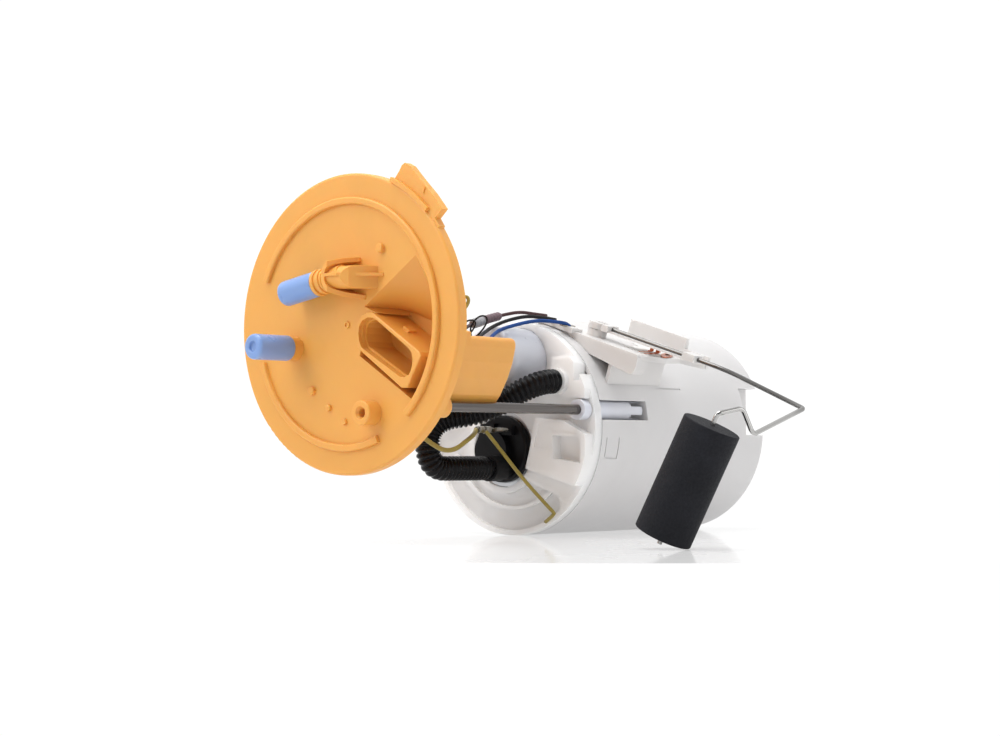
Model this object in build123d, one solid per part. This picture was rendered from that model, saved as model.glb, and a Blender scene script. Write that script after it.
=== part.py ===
from build123d import *
import math
import os

os.makedirs("parts", exist_ok=True)

# ---------------------------------------------------------------------------
# In-tank fuel pump module lying on its side.
# Frame: millimetres, +Z up. The module's long axis is +X. The origin is the
# centre of the flange's sealing face (its back). The flange's outer face looks
# along -X, the reservoir's closed base along +X. The surface that the module
# lies on is at z = FLOOR_Z.
# ---------------------------------------------------------------------------
FLOOR_Z = -101.12

# flange cover
FL_R = 70.0            # outer radius of the flange
FL_T = 5.0             # flange plate thickness (outer face at x = -5)
PILOT_R = 65.0         # pilot that drops into the tank opening
PILOT_IN = 62.2
PILOT_X = 6.0          # how far the pilot reaches behind the sealing face
RING_RI, RING_RO = 55.5, 58.9
RING_H = 2.0
TAB_R = 81.0
BOX_X = 48.0           # back of the connector shroud
HOUSE_END = 50.4       # back wall of the pocket housing
POCKET_FLOOR = 45.0

# pipe stubs
STUB_Y, STUB_Z = 33.2, -10.3
CAP_R = 6.0

# guide rods
ROD_R = 2.5
ROD_Y, ROD_Z = 47.0, -38.4
ROD_X0, ROD_X1 = -2.0, 131.8
BUSH_R = 4.6
TRAVEL = 30.0

# reservoir
POT_R, POT_WALL = 53.9, 2.3
POT_CZ = -47.2
POT_X0, POT_X1 = 119.2, 263.9

# pump
PUMP_Y, PUMP_Z = 5.3, -57.6
PUMP_R = 19.0
PUMP_X0, PUMP_X1 = 115.0, 200.0

# filter housing
FIL_Y, FIL_Z, FIL_R = -6.0, -14.0, 17.0

# level sender: frame turned SND_A about the reservoir's axis
SND_A = 18.0
PIV_X, PIV_T, PIV_N = 138.0, 19.5, 61.0
WIRE_R = 1.1

# float
FLOAT_R = 13.0
FLOAT_TOP = (52.1, -165.2, -47.6)
FLOAT_BOT = (46.2, -143.0, -95.6)

NODES = {}


def box(x0, x1, y0, y1, z0, z1):
    return Pos((x0 + x1) / 2, (y0 + y1) / 2, (z0 + z1) / 2) * Box(abs(x1 - x0), abs(y1 - y0), abs(z1 - z0))


def cylx(r, x0, x1, y=0.0, z=0.0):
    return Pos((x0 + x1) / 2, y, z) * Rot(0, 90, 0) * Cylinder(r, abs(x1 - x0))


def px(x):
    return Plane(origin=(x, 0, 0), x_dir=(0, 1, 0), z_dir=(1, 0, 0))


def prism(pts, x0, x1):
    """Polygon in (y, z) extruded from x0 to x1."""
    sk = px(x0) * make_face(Polyline(*[(p[0], p[1]) for p in pts], close=True))
    return extrude(sk, amount=x1 - x0, dir=(1, 0, 0))


def sector(r0, r1, a0, a1, x0, x1, step=3.0):
    """Ring sector about the flange axis; angles in degrees from +Y towards +Z."""
    n = max(2, int(abs(a1 - a0) / step))
    outer = [(r1 * math.cos(math.radians(a0 + (a1 - a0) * i / n)), r1 * math.sin(math.radians(a0 + (a1 - a0) * i / n))) for i in range(n + 1)]
    inner = [(r0 * math.cos(math.radians(a0 + (a1 - a0) * i / n)), r0 * math.sin(math.radians(a0 + (a1 - a0) * i / n))) for i in range(n, -1, -1)]
    return prism(outer + inner, x0, x1)


def arc_sector(r0, r1, a0, a1, x0, x1):
    """Smooth ring sector: a tube cut by a wedge."""
    ring = cylx(r1, x0, x1) - cylx(r0, x0 - 1, x1 + 1)
    big = r1 * 3
    n = max(2, int(abs(a1 - a0) / 40) + 1)
    pts = [(0, 0)] + [(big * math.cos(math.radians(a0 + (a1 - a0) * i / n)), big * math.sin(math.radians(a0 + (a1 - a0) * i / n))) for i in range(n + 1)]
    return ring & prism(pts, x0 - 1, x1 + 1)


def cyl_along(p, d, r, length):
    d = Vector(*d).normalized()
    pl = Plane(origin=p, z_dir=(d.X, d.Y, d.Z))
    return pl * Cylinder(r, length, align=(Align.CENTER, Align.CENTER, Align.MIN))


def snd(obj):
    """Local sender frame (x, -t, n) to the module frame."""
    return Pos(0, 0, POT_CZ) * Rot(SND_A, 0, 0) * obj


def snd_pt(x, t, n):
    a = math.radians(SND_A)
    return (x, -t * math.cos(a) - n * math.sin(a), POT_CZ - t * math.sin(a) + n * math.cos(a))


def tube_path(points, r, radii=None, name=""):
    """Round tube along straight runs joined by tangent arcs."""
    pts = [Vector(*p) for p in points]
    runs = [(pts[i + 1] - pts[i]).length for i in range(len(pts) - 1)]
    rr = []
    for i in range(1, len(pts) - 1):
        a = pts[i] - pts[i - 1]
        b = pts[i + 1] - pts[i]
        turn = a.get_angle(b)
        if radii is not None:
            rr.append(radii[i - 1])
        else:
            rr.append(0.45 * min(runs[i - 1], runs[i]) / math.tan(math.radians(turn) / 2))
    path = FilletPolyline(*points, radius=rr)
    start = path @ 0
    tan = path % 0
    prof = Plane(origin=start, z_dir=tan) * Circle(r)
    body = sweep(prof, path=path)
    length = path.length
    vol = body.volume
    print("TUBE", name, "length %.1f" % length, "radii", [round(v, 1) for v in rr], "runs", [round(v, 1) for v in runs],
          "volume ratio %.4f" % (vol / (math.pi * r * r * length)))
    return body


# ---------------------------------------------------------------------------
# flange cover
# ---------------------------------------------------------------------------
disc = cylx(FL_R, -FL_T, 0)
disc = fillet(disc.edges().filter_by(GeomType.CIRCLE).sort_by(Axis.X)[0], 1.3)
flange = disc
flange += cylx(PILOT_R, -0.5, PILOT_X) - cylx(PILOT_IN, 0, PILOT_X + 1)
# raised ring in two arcs
ring = cylx(RING_RO, -FL_T - RING_H, -FL_T + 0.5) - cylx(RING_RI, -FL_T - RING_H - 1, -FL_T + 1)
ring = fillet(ring.edges().filter_by(GeomType.CIRCLE).group_by(Axis.X)[0], 0.9)
for a0, a1 in ((23, 227), (248, 343)):
    nn = int((a1 - a0) / 40) + 1
    wedge = [(0, 0)] + [(180 * math.cos(math.radians(a0 + (a1 - a0) * i / nn)), 180 * math.sin(math.radians(a0 + (a1 - a0) * i / nn))) for i in range(nn + 1)]
    flange += ring & prism(wedge, -20, 20)
# locating tab with its step, edge ridge and arrow
TAB = [(-28.5, 63.1), (-33.0, 68.4), (-34.6, 70.8), (-36.5, 71.8), (-39.5, 70.2), (-45.4, 64.0), (-53.0, 56.5), (-59.1, 49.3), (-54.8, 45.4), (-57.3, 41.7), (-54.5, 37.5), (-40.0, 40.0)]
tab = prism(TAB, -4.2, 0)
flange += tab
flange += arc_sector(69.8, 72.0, 114, 136, -6.0, -3.5)
arrow = [(-46.0, 60.0), (-49.2, 59.8), (-48.3, 56.8)]
flange += prism(arrow, -4.8, -4.0)
# moulded pips
for (yy, zz, rr, hh) in [(-22.8, 33.8, 2.1, 2.2), (21.5, -30.5, 2.0, 1.8), (10.4, -38.6, 1.6, 1.5), (0.2, -45.2, 1.5, 1.4)]:
    pip = cylx(rr, -FL_T - hh, -FL_T + 0.5, yy, zz)
    flange += fillet(pip.edges().filter_by(GeomType.CIRCLE).group_by(Axis.X)[0], 0.6)
flange += cylx(1.7, -FL_T - 0.7, -FL_T + 0.5, -1.0, -0.4)
flange -= cylx(0.9, -FL_T - 1.0, -FL_T - 0.1, -1.0, -0.4)
# hollow boss
BOSS = (-17.3, -41.3)
boss = cylx(5.7, -13.0, -FL_T + 0.5, *BOSS)
flange += fillet(boss.edges().filter_by(GeomType.CIRCLE).group_by(Axis.X)[0], 0.8)
flange -= cylx(2.1, -14.0, 1.0, *BOSS)
flange -= Pos(-12.3, *BOSS) * Rot(0, 90, 0) * Cone(3.1, 2.1, 1.42)

# deep connector pocket and its housing behind the flange
DEEP_B = [(-24.0, -7.8), (-54.2, -7.8), (-53.9, -11.0), (-52.3, -17.0), (-49.4, -24.0), (-45.4, -31.0), (-41.7, -35.4), (-9.1, -15.0), (-10.5, -9.0)]
DEEP_A = [(-20.0, 4.4), (-33.0, 1.0), (-54.3, -6.8), (-53.9, -11.0), (-52.3, -17.0), (-49.4, -24.0), (-45.4, -31.0), (-41.7, -35.4), (-9.1, -15.0), (-10.2, -11.0), (-11.2, 0.0), (-13.6, 4.6)]
HOUSE = [(-11.8, 10.6), (-33.5, 3.6), (-57.4, -4.8), (-57.0, -11.0), (-55.2, -18.0), (-52.1, -25.4), (-47.8, -32.8), (-42.6, -38.9), (-7.6, -17.2), (-3.0, -8.8), (-3.4, 4.2)]
flange += prism(HOUSE, -0.5, 17.6)
HOUSE_B = [(-57.4, -6.2), (-57.0, -11.0), (-55.2, -18.0), (-52.1, -25.4), (-47.8, -32.8), (-42.6, -38.9), (-7.6, -17.2), (-3.0, -8.8), (-3.4, -5.8)]
house = prism(HOUSE_B, -0.5, HOUSE_END)
corner = [e for e in house.edges().filter_by(Axis.X) if abs(e.center().Y + 57.4) < 0.2 and abs(e.center().Z + 6.2) < 0.2]
house = fillet(corner, 3.0)
try:
    house = fillet(house.edges().group_by(Axis.X)[-1], 2.0)
except Exception:
    print("NOTE box back fillet left off")
flange += house
# funnel-shaped ramp that runs down to the shroud's upper side
RAMP_F = [(-44.1, 29.4), (-12.1, 7.6), (-19.5, 4.6), (-54.3, -7.0), (-54.6, 6.0), (-51.2, 19.0)]
RAMP_D = [(-46.0, -3.0), (-21.6, 6.4), (-21.8, 4.2), (-52.0, -9.5), (-52.0, -7.5), (-50.4, -5.4)]
RAMP_BF = [(-45.6, 32.4), (-9.6, 9.4), (-17.0, 2.0), (-57.2, -9.0), (-57.8, 7.0), (-54.2, 21.4)]
RAMP_BD = [(-47.0, 0.4), (-19.2, 9.6), (-19.4, 1.8), (-54.6, -12.0), (-54.8, -6.2), (-53.0, -2.6)]
cover = loft([px(-0.5) * make_face(Polyline(*RAMP_BF, close=True)), px(17.8) * make_face(Polyline(*RAMP_BD, close=True))])
flange += cover
ramp = loft([px(-FL_T - 0.01) * make_face(Polyline(*RAMP_F, close=True)), px(15.2) * make_face(Polyline(*RAMP_D, close=True))])
flange -= ramp
flange -= prism(DEEP_A, -FL_T - 3.0, 15.2)
flange -= prism(DEEP_B, 10.0, POCKET_FLOOR)


def dn(d, n):
    """Connector axes: d along the row of pins, n across it."""
    return (-0.76 * d - 0.65 * n, -0.65 * d + 0.76 * n)


SH_OUT = [(-15.8, 4.8), (-12.5, 3.8), (-10.8, 2.4), (-9.0, -0.4), (-8.1, -4.1), (-8.4, -7.7), (-9.3, -10.8), (-12.3, -13.4), (-24.6, -21.7), (-37.1, -30.2), (-40.8, -30.3), (-44.9, -22.9), (-49.0, -16.1), (-48.2, -14.5), (-18.6, 4.6)]
SH_IN = [(-10.1, -4.7), (-10.6, -1.4), (-12.5, 1.1), (-15.8, 2.4), (-19.1, 2.1), (-21.8, 0.9), (-31.4, -5.6), (-41.5, -12.4), (-43.4, -14.5), (-44.1, -17.2), (-43.8, -20.1), (-42.9, -22.9), (-41.6, -24.6), (-39.5, -25.4), (-37.6, -25.6), (-36.0, -25.2), (-23.9, -18.2), (-12.3, -11.4), (-10.7, -8.7)]
SH_X = -7.0
shroud = prism(SH_OUT, SH_X, 15.5) & cylx(54.6, -20, 60)
shroud += prism(SH_OUT, 15.0, BOX_X) & prism(HOUSE_B, 14.0, BOX_X)
# tower over the first pin, above the housing's flat top
shroud += box(15.0, BOX_X, -22.0, -15.8, -7.0, 1.2)
OPEN_FLOOR = 14.0
rim = px(SH_X) * make_face(Polyline(*SH_IN, close=True))
shroud -= extrude(rim, amount=4.2, dir=(1, 0, 0))
inner = px(SH_X + 4.0) * offset(make_face(Polyline(*SH_IN, close=True)), amount=-1.0, kind=Kind.INTERSECTION)
shroud -= extrude(inner, amount=OPEN_FLOOR - SH_X - 4.0, dir=(1, 0, 0))
shroud = chamfer([e for e in shroud.faces().filter_by(Plane.YZ).sort_by(Axis.X)[0].outer_wire().edges()], 0.35)


def su(u, h):
    """Along the shroud's upper side and out from it."""
    return (-18.6 - 0.840 * u - 0.542 * h, 4.6 - 0.542 * u + 0.840 * h)


# latch bump on the shroud's upper side
shroud += prism([su(13.6, -0.5), su(17.6, -0.5), su(17.6, 1.3), su(13.6, 1.3)], 1.5, 7.0)
flange += shroud
# pin holes through the shroud's floor
PIN_D = [15.5, 23.8, 32.0, 40.2]
for d in PIN_D:
    c = dn(d, 10.9)
    flange -= box(OPEN_FLOOR - 1, HOUSE_END + 1, c[0] - 0.75, c[0] + 0.75, c[1] - 1.6, c[1] + 1.6)

# straight pipe stub: collar, barbed stub and the inner nipple
flange += cylx(5.6, -10.3, -FL_T + 0.5, STUB_Y, STUB_Z)
flange += cylx(4.0, -26.0, -9.0, STUB_Y, STUB_Z)
flange += cylx(4.45, -24.5, -22.5, STUB_Y, STUB_Z)
flange += cylx(4.6, -1.0, 16.0, STUB_Y, STUB_Z)
flange += cylx(5.1, 12.5, 14.5, STUB_Y, STUB_Z)
flange -= cylx(2.4, -30.0, 20.0, STUB_Y, STUB_Z)

# angled stub on its finned housing
ANG_O = (-14.0, -4.49, 21.12)
ANG_D = Vector(0.0, 0.985, -0.174).normalized()


def ang(s):
    return (ANG_O[0] + ANG_D.X * s, ANG_O[1] + ANG_D.Y * s, ANG_O[2] + ANG_D.Z * s)


def flat(pts, z0, z1):
    """Polygon in (x, y) extruded from z0 to z1."""
    pl = Plane(origin=(0, 0, z0), x_dir=(1, 0, 0), z_dir=(0, 0, 1))
    return extrude(pl * make_face(Polyline(*pts, close=True)), amount=z1 - z0, dir=(0, 0, 1))


# rounded body, cut back to the flange at its blind end
body_ = Pos(-14.0, -13.0, 20.7) * Rot(90, 0, 0) * Cylinder(5.2, 28.0)
body_ += box(-14.0, -FL_T + 0.3, -27.0, 1.0, 15.5, 25.9)
body_ = body_ & flat([(-20.5, 1.0), (-20.5, -8.5), (-17.0, -13.5), (-4.7, -20.8), (-4.7, 1.0)], 10, 30)
flange += body_
flange += cyl_along(ang(-3.0), tuple(ANG_D), 5.0, 15.0)
# collar rings beside the cap
for s_, r_, w_ in [(8.3, 6.1, 1.9), (11.6, 6.3, 2.0)]:
    ringc = cyl_along(ang(s_), tuple(ANG_D), r_, w_)
    flange += fillet(ringc.edges().filter_by(GeomType.CIRCLE), 0.4)
flange += cyl_along(ang(7.0), tuple(ANG_D), 5.4, 8.0)
flange += cyl_along(ang(12.0), tuple(ANG_D), 4.0, 18.0)
flange += cyl_along(ang(26.5), tuple(ANG_D), 4.45, 2.0)
# fins: one strip bent round the pipe's root, and a middle fin that slopes into the flange
HS_U = [(-9.6, 29.4), (-6.0, 28.6), (-3.2, 27.3), (-1.0, 25.3), (-0.1, 23.0), (0.0, 20.4)]
HS_L = [(0.0, 21.0), (-0.2, 18.8), (-1.4, 16.7), (-3.6, 14.7), (-7.4, 13.0), (-13.0, 11.7)]


def strip(path, w):
    """Closed outline of a strip of width w along a path."""
    a_, b_ = [], []
    for i in range(len(path)):
        p0 = path[max(0, i - 1)]
        p1 = path[min(len(path) - 1, i + 1)]
        dx, dy = p1[0] - p0[0], p1[1] - p0[1]
        ll = math.hypot(dx, dy)
        a_.append((path[i][0] - dy / ll * w / 2, path[i][1] + dx / ll * w / 2))
        b_.append((path[i][0] + dy / ll * w / 2, path[i][1] - dx / ll * w / 2))
    return a_ + b_[::-1]


flange += prism(strip(HS_U, 2.0), -20.2, -FL_T + 0.3) & flat([(-20.3, 3.0), (-20.3, -2.6), (-6.4, -9.4), (-4.6, -12.0), (-4.6, 3.0)], 19.0, 32.0)
flange += prism(strip(HS_L, 2.0), -20.2, -FL_T + 0.3) & flat([(-20.3, 3.0), (-20.3, -2.8), (-6.4, -12.6), (-4.6, -14.0), (-4.6, 3.0)], 8.0, 22.0)
flange += flat([(-20.2, 0.4), (-20.2, -8.8), (-5.6, -24.2), (-4.7, -24.2), (-4.7, 0.4)], 21.1, 22.5)
flange -= cyl_along(ang(13.7), tuple(ANG_D), 6.3, 30.0) - cyl_along(ang(13.0), tuple(ANG_D), 4.5, 32.0)
flange -= cyl_along(ang(-6.5), tuple(ANG_D), 2.4, 45.0)
flange -= cylx(2.4, -14.0, 20.0, *(lambda p: (p[1], p[2]))(ang(-5.0)))
inner_n = (lambda p: (p[1], p[2]))(ang(-5.0))
flange += (cylx(4.6, -1.0, 16.0, *inner_n) + cylx(5.1, 12.5, 14.5, *inner_n)) - cylx(2.4, -3.0, 20.0, *inner_n)

# rod sockets behind the flange, with their gussets
flange += cylx(5.2, -0.5, 10.5, -ROD_Y, ROD_Z)
flange += cylx(6.0, -0.5, 18.0, ROD_Y, ROD_Z) & cylx(PILOT_IN + 0.2, -2, 20)
for s in (-1, 1):
    flange -= cylx(ROD_R, ROD_X0, 20, s * ROD_Y, ROD_Z)
# stiffening ribs inside the pilot
for (a0) in (100, 60, 20, -20, -60):
    c, sn_ = math.cos(math.radians(a0)), math.sin(math.radians(a0))
    rib = Rot(a0, 0, 0) * box(-0.5, 5.0, 40.0, PILOT_IN + 0.3, -0.9, 0.9)
    flange += rib
NODES["flange_cover"] = flange

# connector pins, bent tails behind the pocket
pins = []
for d in PIN_D:
    c = dn(d, 10.9)
    pins.append(box(7.0, BOX_X + 6.0, c[0] - 0.7, c[0] + 0.7, c[1] - 1.5, c[1] + 1.5))
NODES["connector_pins"] = pins

# blue transport caps: blind tubes with a dimpled end
cap = cylx(CAP_R, -32.6, -10.6, STUB_Y, STUB_Z)
cap = fillet(cap.edges().filter_by(GeomType.CIRCLE).sort_by(Axis.X)[0], 1.0)
cap -= cylx(4.65, -29.0, -10.0, STUB_Y, STUB_Z)
cap -= cylx(2.5, -33.5, -31.2, STUB_Y, STUB_Z)
NODES["straight_pipe_cap"] = cap
acap = cyl_along(ang(13.9), tuple(ANG_D), CAP_R, 22.0)
acap = fillet(acap.edges().filter_by(GeomType.CIRCLE).sort_by(Axis((0, 0, 0), (ANG_D.X, ANG_D.Y, ANG_D.Z)))[-1], 1.0)
acap -= cyl_along(ang(12.0), tuple(ANG_D), 4.65, 20.5)
acap -= cyl_along(ang(34.6), tuple(ANG_D), 2.5, 3.0)
NODES["angled_pipe_cap"] = acap

# ---------------------------------------------------------------------------
# guide rods, clips, spring
# ---------------------------------------------------------------------------
for nm, s in (("front", -1), ("rear", 1)):
    rod = cylx(ROD_R, ROD_X0, ROD_X1, s * ROD_Y, ROD_Z) - cylx(1.6, ROD_X0 - 1, ROD_X1 + 1, s * ROD_Y, ROD_Z)
    rod -= (cylx(ROD_R + 1, 129.3, 130.2, s * ROD_Y, ROD_Z) - cylx(2.1, 128, 131, s * ROD_Y, ROD_Z))
    NODES[nm + "_guide_rod"] = rod
clips = []
for s in (-1, 1):
    c = cylx(3.6, 129.35, 130.15, s * ROD_Y, ROD_Z) - cylx(2.12, 129, 131, s * ROD_Y, ROD_Z)
    c -= box(129, 131, s * ROD_Y - 1.3, s * ROD_Y + 1.3, ROD_Z - 5, ROD_Z)
    clips.append(c)
NODES["rod_end_clips"] = clips

SPR_X0, SPR_X1 = 18.2, 106.4
SPR_WIRE, SPR_RM, SPR_TURNS = 0.6, 4.3, 16
helix = Helix(pitch=(SPR_X1 - SPR_X0 - 2 * SPR_WIRE) / SPR_TURNS, height=SPR_X1 - SPR_X0 - 2 * SPR_WIRE, radius=SPR_RM)
prof = Plane(origin=helix @ 0, z_dir=helix % 0) * Circle(SPR_WIRE)
spring = sweep(prof, path=helix, is_frenet=True)
NODES["preload_spring"] = Pos(SPR_X0 + SPR_WIRE, ROD_Y, ROD_Z) * Rot(0, 90, 0) * spring

# ---------------------------------------------------------------------------
# guide bushes
# ---------------------------------------------------------------------------
for nm, s in (("front", -1), ("rear", 1)):
    b = cylx(5.0, 107.8, 113.3, s * ROD_Y, ROD_Z) + cylx(BUSH_R, 113.0, 155.1, s * ROD_Y, ROD_Z)
    b += cylx(4.85, 119.6, 121.2, s * ROD_Y, ROD_Z)
    b -= cylx(ROD_R + 0.06, 100, 160, s * ROD_Y, ROD_Z)
    b -= cylx(3.92, 129.2, 160, s * ROD_Y, ROD_Z)
    for q in (-1, 1):
        b -= box(146.5, 156, s * ROD_Y - 6, s * ROD_Y + 6, ROD_Z + q * 3.0 - 0.9, ROD_Z + q * 3.0 + 0.9)
    NODES[nm + "_guide_bush"] = b

# ---------------------------------------------------------------------------
# reservoir
# ---------------------------------------------------------------------------
outer = cylx(POT_R, POT_X0, POT_X1, 0, POT_CZ)
outer = fillet(outer.edges().filter_by(GeomType.CIRCLE).sort_by(Axis.X)[-1], 3.0)
NOTCH_X, NOTCH_Y, NOTCH_Z0, NOTCH_Z1 = 244.5, -41.5, -50.0, -25.0
inner = cylx(POT_R - POT_WALL, POT_X0 - 1, POT_X1 - 2.5, 0, POT_CZ)
inner -= box(NOTCH_X - POT_WALL, 300, -80, NOTCH_Y + POT_WALL, NOTCH_Z0 - POT_WALL, NOTCH_Z1 + POT_WALL)
pot = outer - box(NOTCH_X, 300, -80, NOTCH_Y, NOTCH_Z0, NOTCH_Z1) - inner
# long raised pad along the near flank
pot += (cylx(POT_R + 0.0, POT_X0 + 2, 212, 0, POT_CZ) - cylx(POT_R - 1.0, POT_X0, 214, 0, POT_CZ)) & box(121, 212, -60, -30, -24, -5)
for s in (-1, 1):
    ch = box(POT_X0, 160.0, s * 39.6, s * 54.5, ROD_Z - 7.4, ROD_Z + 7.4) & cylx(POT_R, POT_X0, 170, 0, POT_CZ)
    pot += ch
for s in (-1, 1):
    pot -= box(POT_X0 - 1, 157.0, s * ROD_Y, s * 60.0, ROD_Z - 4.8, ROD_Z + 4.8) + cylx(4.8, POT_X0 - 1, 157.0, s * ROD_Y, ROD_Z)
    pot -= cylx(5.05, POT_X0 - 1, 121.6, s * ROD_Y, ROD_Z) + box(POT_X0 - 1, 121.6, s * ROD_Y, s * 60.0, ROD_Z - 5.05, ROD_Z + 5.05)
# rim notch, snap windows and slots in the near wall
pot -= box(POT_X0 - 1, POT_X0 + 4.5, 25.6, 29.6, -104, -85)
skin = cylx(POT_R + 1, 120, 200, 0, POT_CZ) - cylx(POT_R - 0.5, 119, 201, 0, POT_CZ)
pot -= skin & box(122.6, 123.6, -60, -45, -62.5, -52.0)
pot -= skin & box(132.6, 133.6, -60, -45, -62.5, -52.0)
pot -= skin & box(123.4, 133.0, -60, -45, -62.5, -61.5)
pot -= skin & box(168.5, 190.5, -60, -45, -27.2, -26.4)
# long ribs inside, base holes
for a0 in (200, 250, 290, 340):
    pot += Pos(0, 0, POT_CZ) * Rot(a0, 0, 0) * box(200, POT_X1 - 1, POT_R - 6.5, POT_R - 1.0, -0.8, 0.8)
VALVE = (28.0, -66.0)
pot -= cylx(2.1, 255, 270, *VALVE)
for k in range(6):
    a0 = math.radians(60 * k)
    pot -= cylx(1.6, 255, 270, VALVE[0] + 5.6 * math.cos(a0), VALVE[1] + 5.6 * math.sin(a0))
JET = (-22.0, -80.0)
pot -= cylx(3.0, 255, 270, *JET)
NODES["swirl_pot"] = pot

# ---------------------------------------------------------------------------
# lid / pump carrier
# ---------------------------------------------------------------------------
LX0, LX1 = 113.6, 118.8
lid = cylx(POT_R, LX0, LX1, 0, POT_CZ)
# open lower rear part of the mouth
lid -= prism([(-9.0, -73.0), (-31.0, -81.0), (-34.0, -110.0), (70.0, -110.0), (70.0, -36.0), (40.0, -36.0), (27.0, -40.0), (27.0, -73.0)], LX0 - 1, 116.4) & cylx(51.4, LX0 - 2, LX1 + 2, 0, POT_CZ)
lid += (cylx(41.0, LX0 + 0.9, LX1, 0, POT_CZ) - cylx(39.2, LX0 - 1, LX1 + 1, 0, POT_CZ)) & box(LX0, LX1, -30, 40, -95, -60)
lid -= prism([(16.0, -10.5), (30.0, -17.5), (36.0, -27.0), (22.0, -23.0)], LX0 - 1, LX1 + 1)
lid += cylx(22.5, LX0, LX1, PUMP_Y, PUMP_Z)
lid += cylx(5.9, LX0, LX1, ROD_Y, ROD_Z) + box(LX0, LX1, 24, 47, ROD_Z - 1.5, ROD_Z + 6.0)
# skirt that plugs into the reservoir's mouth, near side
lid += (cylx(POT_R - POT_WALL - 0.12, LX0, 126.0, 0, POT_CZ) - cylx(POT_R - POT_WALL - 2.2, LX0 - 1, 127, 0, POT_CZ)) & box(110, 126, -60, -12, -80, -58)
lid += (cylx(POT_R - POT_WALL - 0.12, LX0, 126.0, 0, POT_CZ) - cylx(POT_R - POT_WALL - 2.2, LX0 - 1, 127, 0, POT_CZ)) & box(110, 126, -36, 40, -20, 20)
# raised box with the snap window on its front
LUG = [(-20.8, -42.0), (-17.2, -57.5), (-14.4, -67.4), (-30.0, -71.5), (-45.6, -75.6), (-52.0, -66.0), (-52.2, -50.5), (-38.0, -43.6)]
lug = prism(LUG, 107.5, LX0 + 0.5) & cylx(POT_R, 100, 120, 0, POT_CZ)
lid += lug
# bracket tower at the top near side, with an oval slot
lid += prism([(-30.0, -12.0), (-44.0, -12.0), (-50.5, -28.0), (-50.5, -33.0), (-38.0, -32.0), (-28.0, -28.0)], 109.5, LX0 + 0.5) & cylx(POT_R, 100, 120, 0, POT_CZ)
# bush carriers
lid += cylx(6.4, 113.4, LX1, -ROD_Y, ROD_Z) + cylx(6.4, 113.4, LX1, ROD_Y, ROD_Z)
lid -= prism([(-31.7, -50.7), (-48.4, -52.0), (-49.0, -64.4), (-32.4, -62.4)], 106.0, 113.6)
lid -= prism([(-22.5, -45.0), (-35.5, -47.0), (-47.5, -50.2), (-31.0, -49.2), (-30.6, -58.0), (-19.8, -56.5)], 106.0, 108.1)
lid -= box(106.0, 125.0, -47.0, -43.5, -24.0, -14.5)
lid -= cylx(PUMP_R + 0.25, LX0 - 6, LX1 + 8, PUMP_Y, PUMP_Z)
lid -= cylx(FIL_R + 0.15, LX0 - 6, LX1 + 10, FIL_Y, FIL_Z)
for s in (-1, 1):
    lid -= cylx(BUSH_R + 0.06, LX0 - 10, LX1 + 10, s * ROD_Y, ROD_Z)
    lid -= box(LX1 + 0.001, 130, s * 36.0, s * 60, ROD_Z - 9, ROD_Z + 9)
# hose port nipple
PORT = (-33.8, -24.4)
lid += cylx(6.6, 106.8, LX0 + 0.5, *PORT)
lid -= cylx(2.6, 98.0, 125.0, *PORT)
NODES["reservoir_lid"] = lid

# ---------------------------------------------------------------------------
# filter housing with the regulator in its end
# ---------------------------------------------------------------------------
fil = cylx(FIL_R, 88.0, 152.0, FIL_Y, FIL_Z)
fil = fillet(fil.edges().filter_by(GeomType.CIRCLE).sort_by(Axis.X)[0], 3.5)
fil += cylx(FIL_R - 0.1, 100, 140, FIL_Y, FIL_Z)
fil -= cylx(FIL_R - 2.0, 91.0, 149.5, FIL_Y, FIL_Z)
fil += cylx(4.2, 80.0, 88.5, FIL_Y + 6, FIL_Z + 4) - cylx(2.4, 78, 90, FIL_Y + 6, FIL_Z + 4)
fil -= cylx(2.4, 78, 92, FIL_Y + 6, FIL_Z + 4)
fil -= cylx(5.0, 148, 155, FIL_Y, FIL_Z)
NODES["filter_housing"] = fil
core = cylx(13.5, 95.0, 140.0, FIL_Y, FIL_Z) - cylx(6.0, 94, 141, FIL_Y, FIL_Z)
NODES["filter_element"] = core
reg = cylx(4.9, 146.0, 158.0, FIL_Y, FIL_Z) + cylx(7.4, 152.2, 155.0, FIL_Y, FIL_Z)
reg -= cylx(1.5, 145, 160, FIL_Y, FIL_Z)
NODES["pressure_regulator"] = reg

# ---------------------------------------------------------------------------
# pump
# ---------------------------------------------------------------------------
can = cylx(PUMP_R, PUMP_X0, PUMP_X1, PUMP_Y, PUMP_Z) - cylx(PUMP_R - 0.8, PUMP_X0 - 1, PUMP_X1 + 1, PUMP_Y, PUMP_Z)
lip = cylx(PUMP_R, PUMP_X0 - 0.0, PUMP_X0 + 0.8, PUMP_Y, PUMP_Z) - cylx(PUMP_R - 1.9, PUMP_X0 - 1, PUMP_X0 + 2, PUMP_Y, PUMP_Z)
can += lip
lip2 = cylx(PUMP_R, PUMP_X1 - 0.8, PUMP_X1, PUMP_Y, PUMP_Z) - cylx(PUMP_R - 2.2, PUMP_X1 - 2, PUMP_X1 + 1, PUMP_Y, PUMP_Z)
can += lip2
NODES["pump_can"] = can

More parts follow.
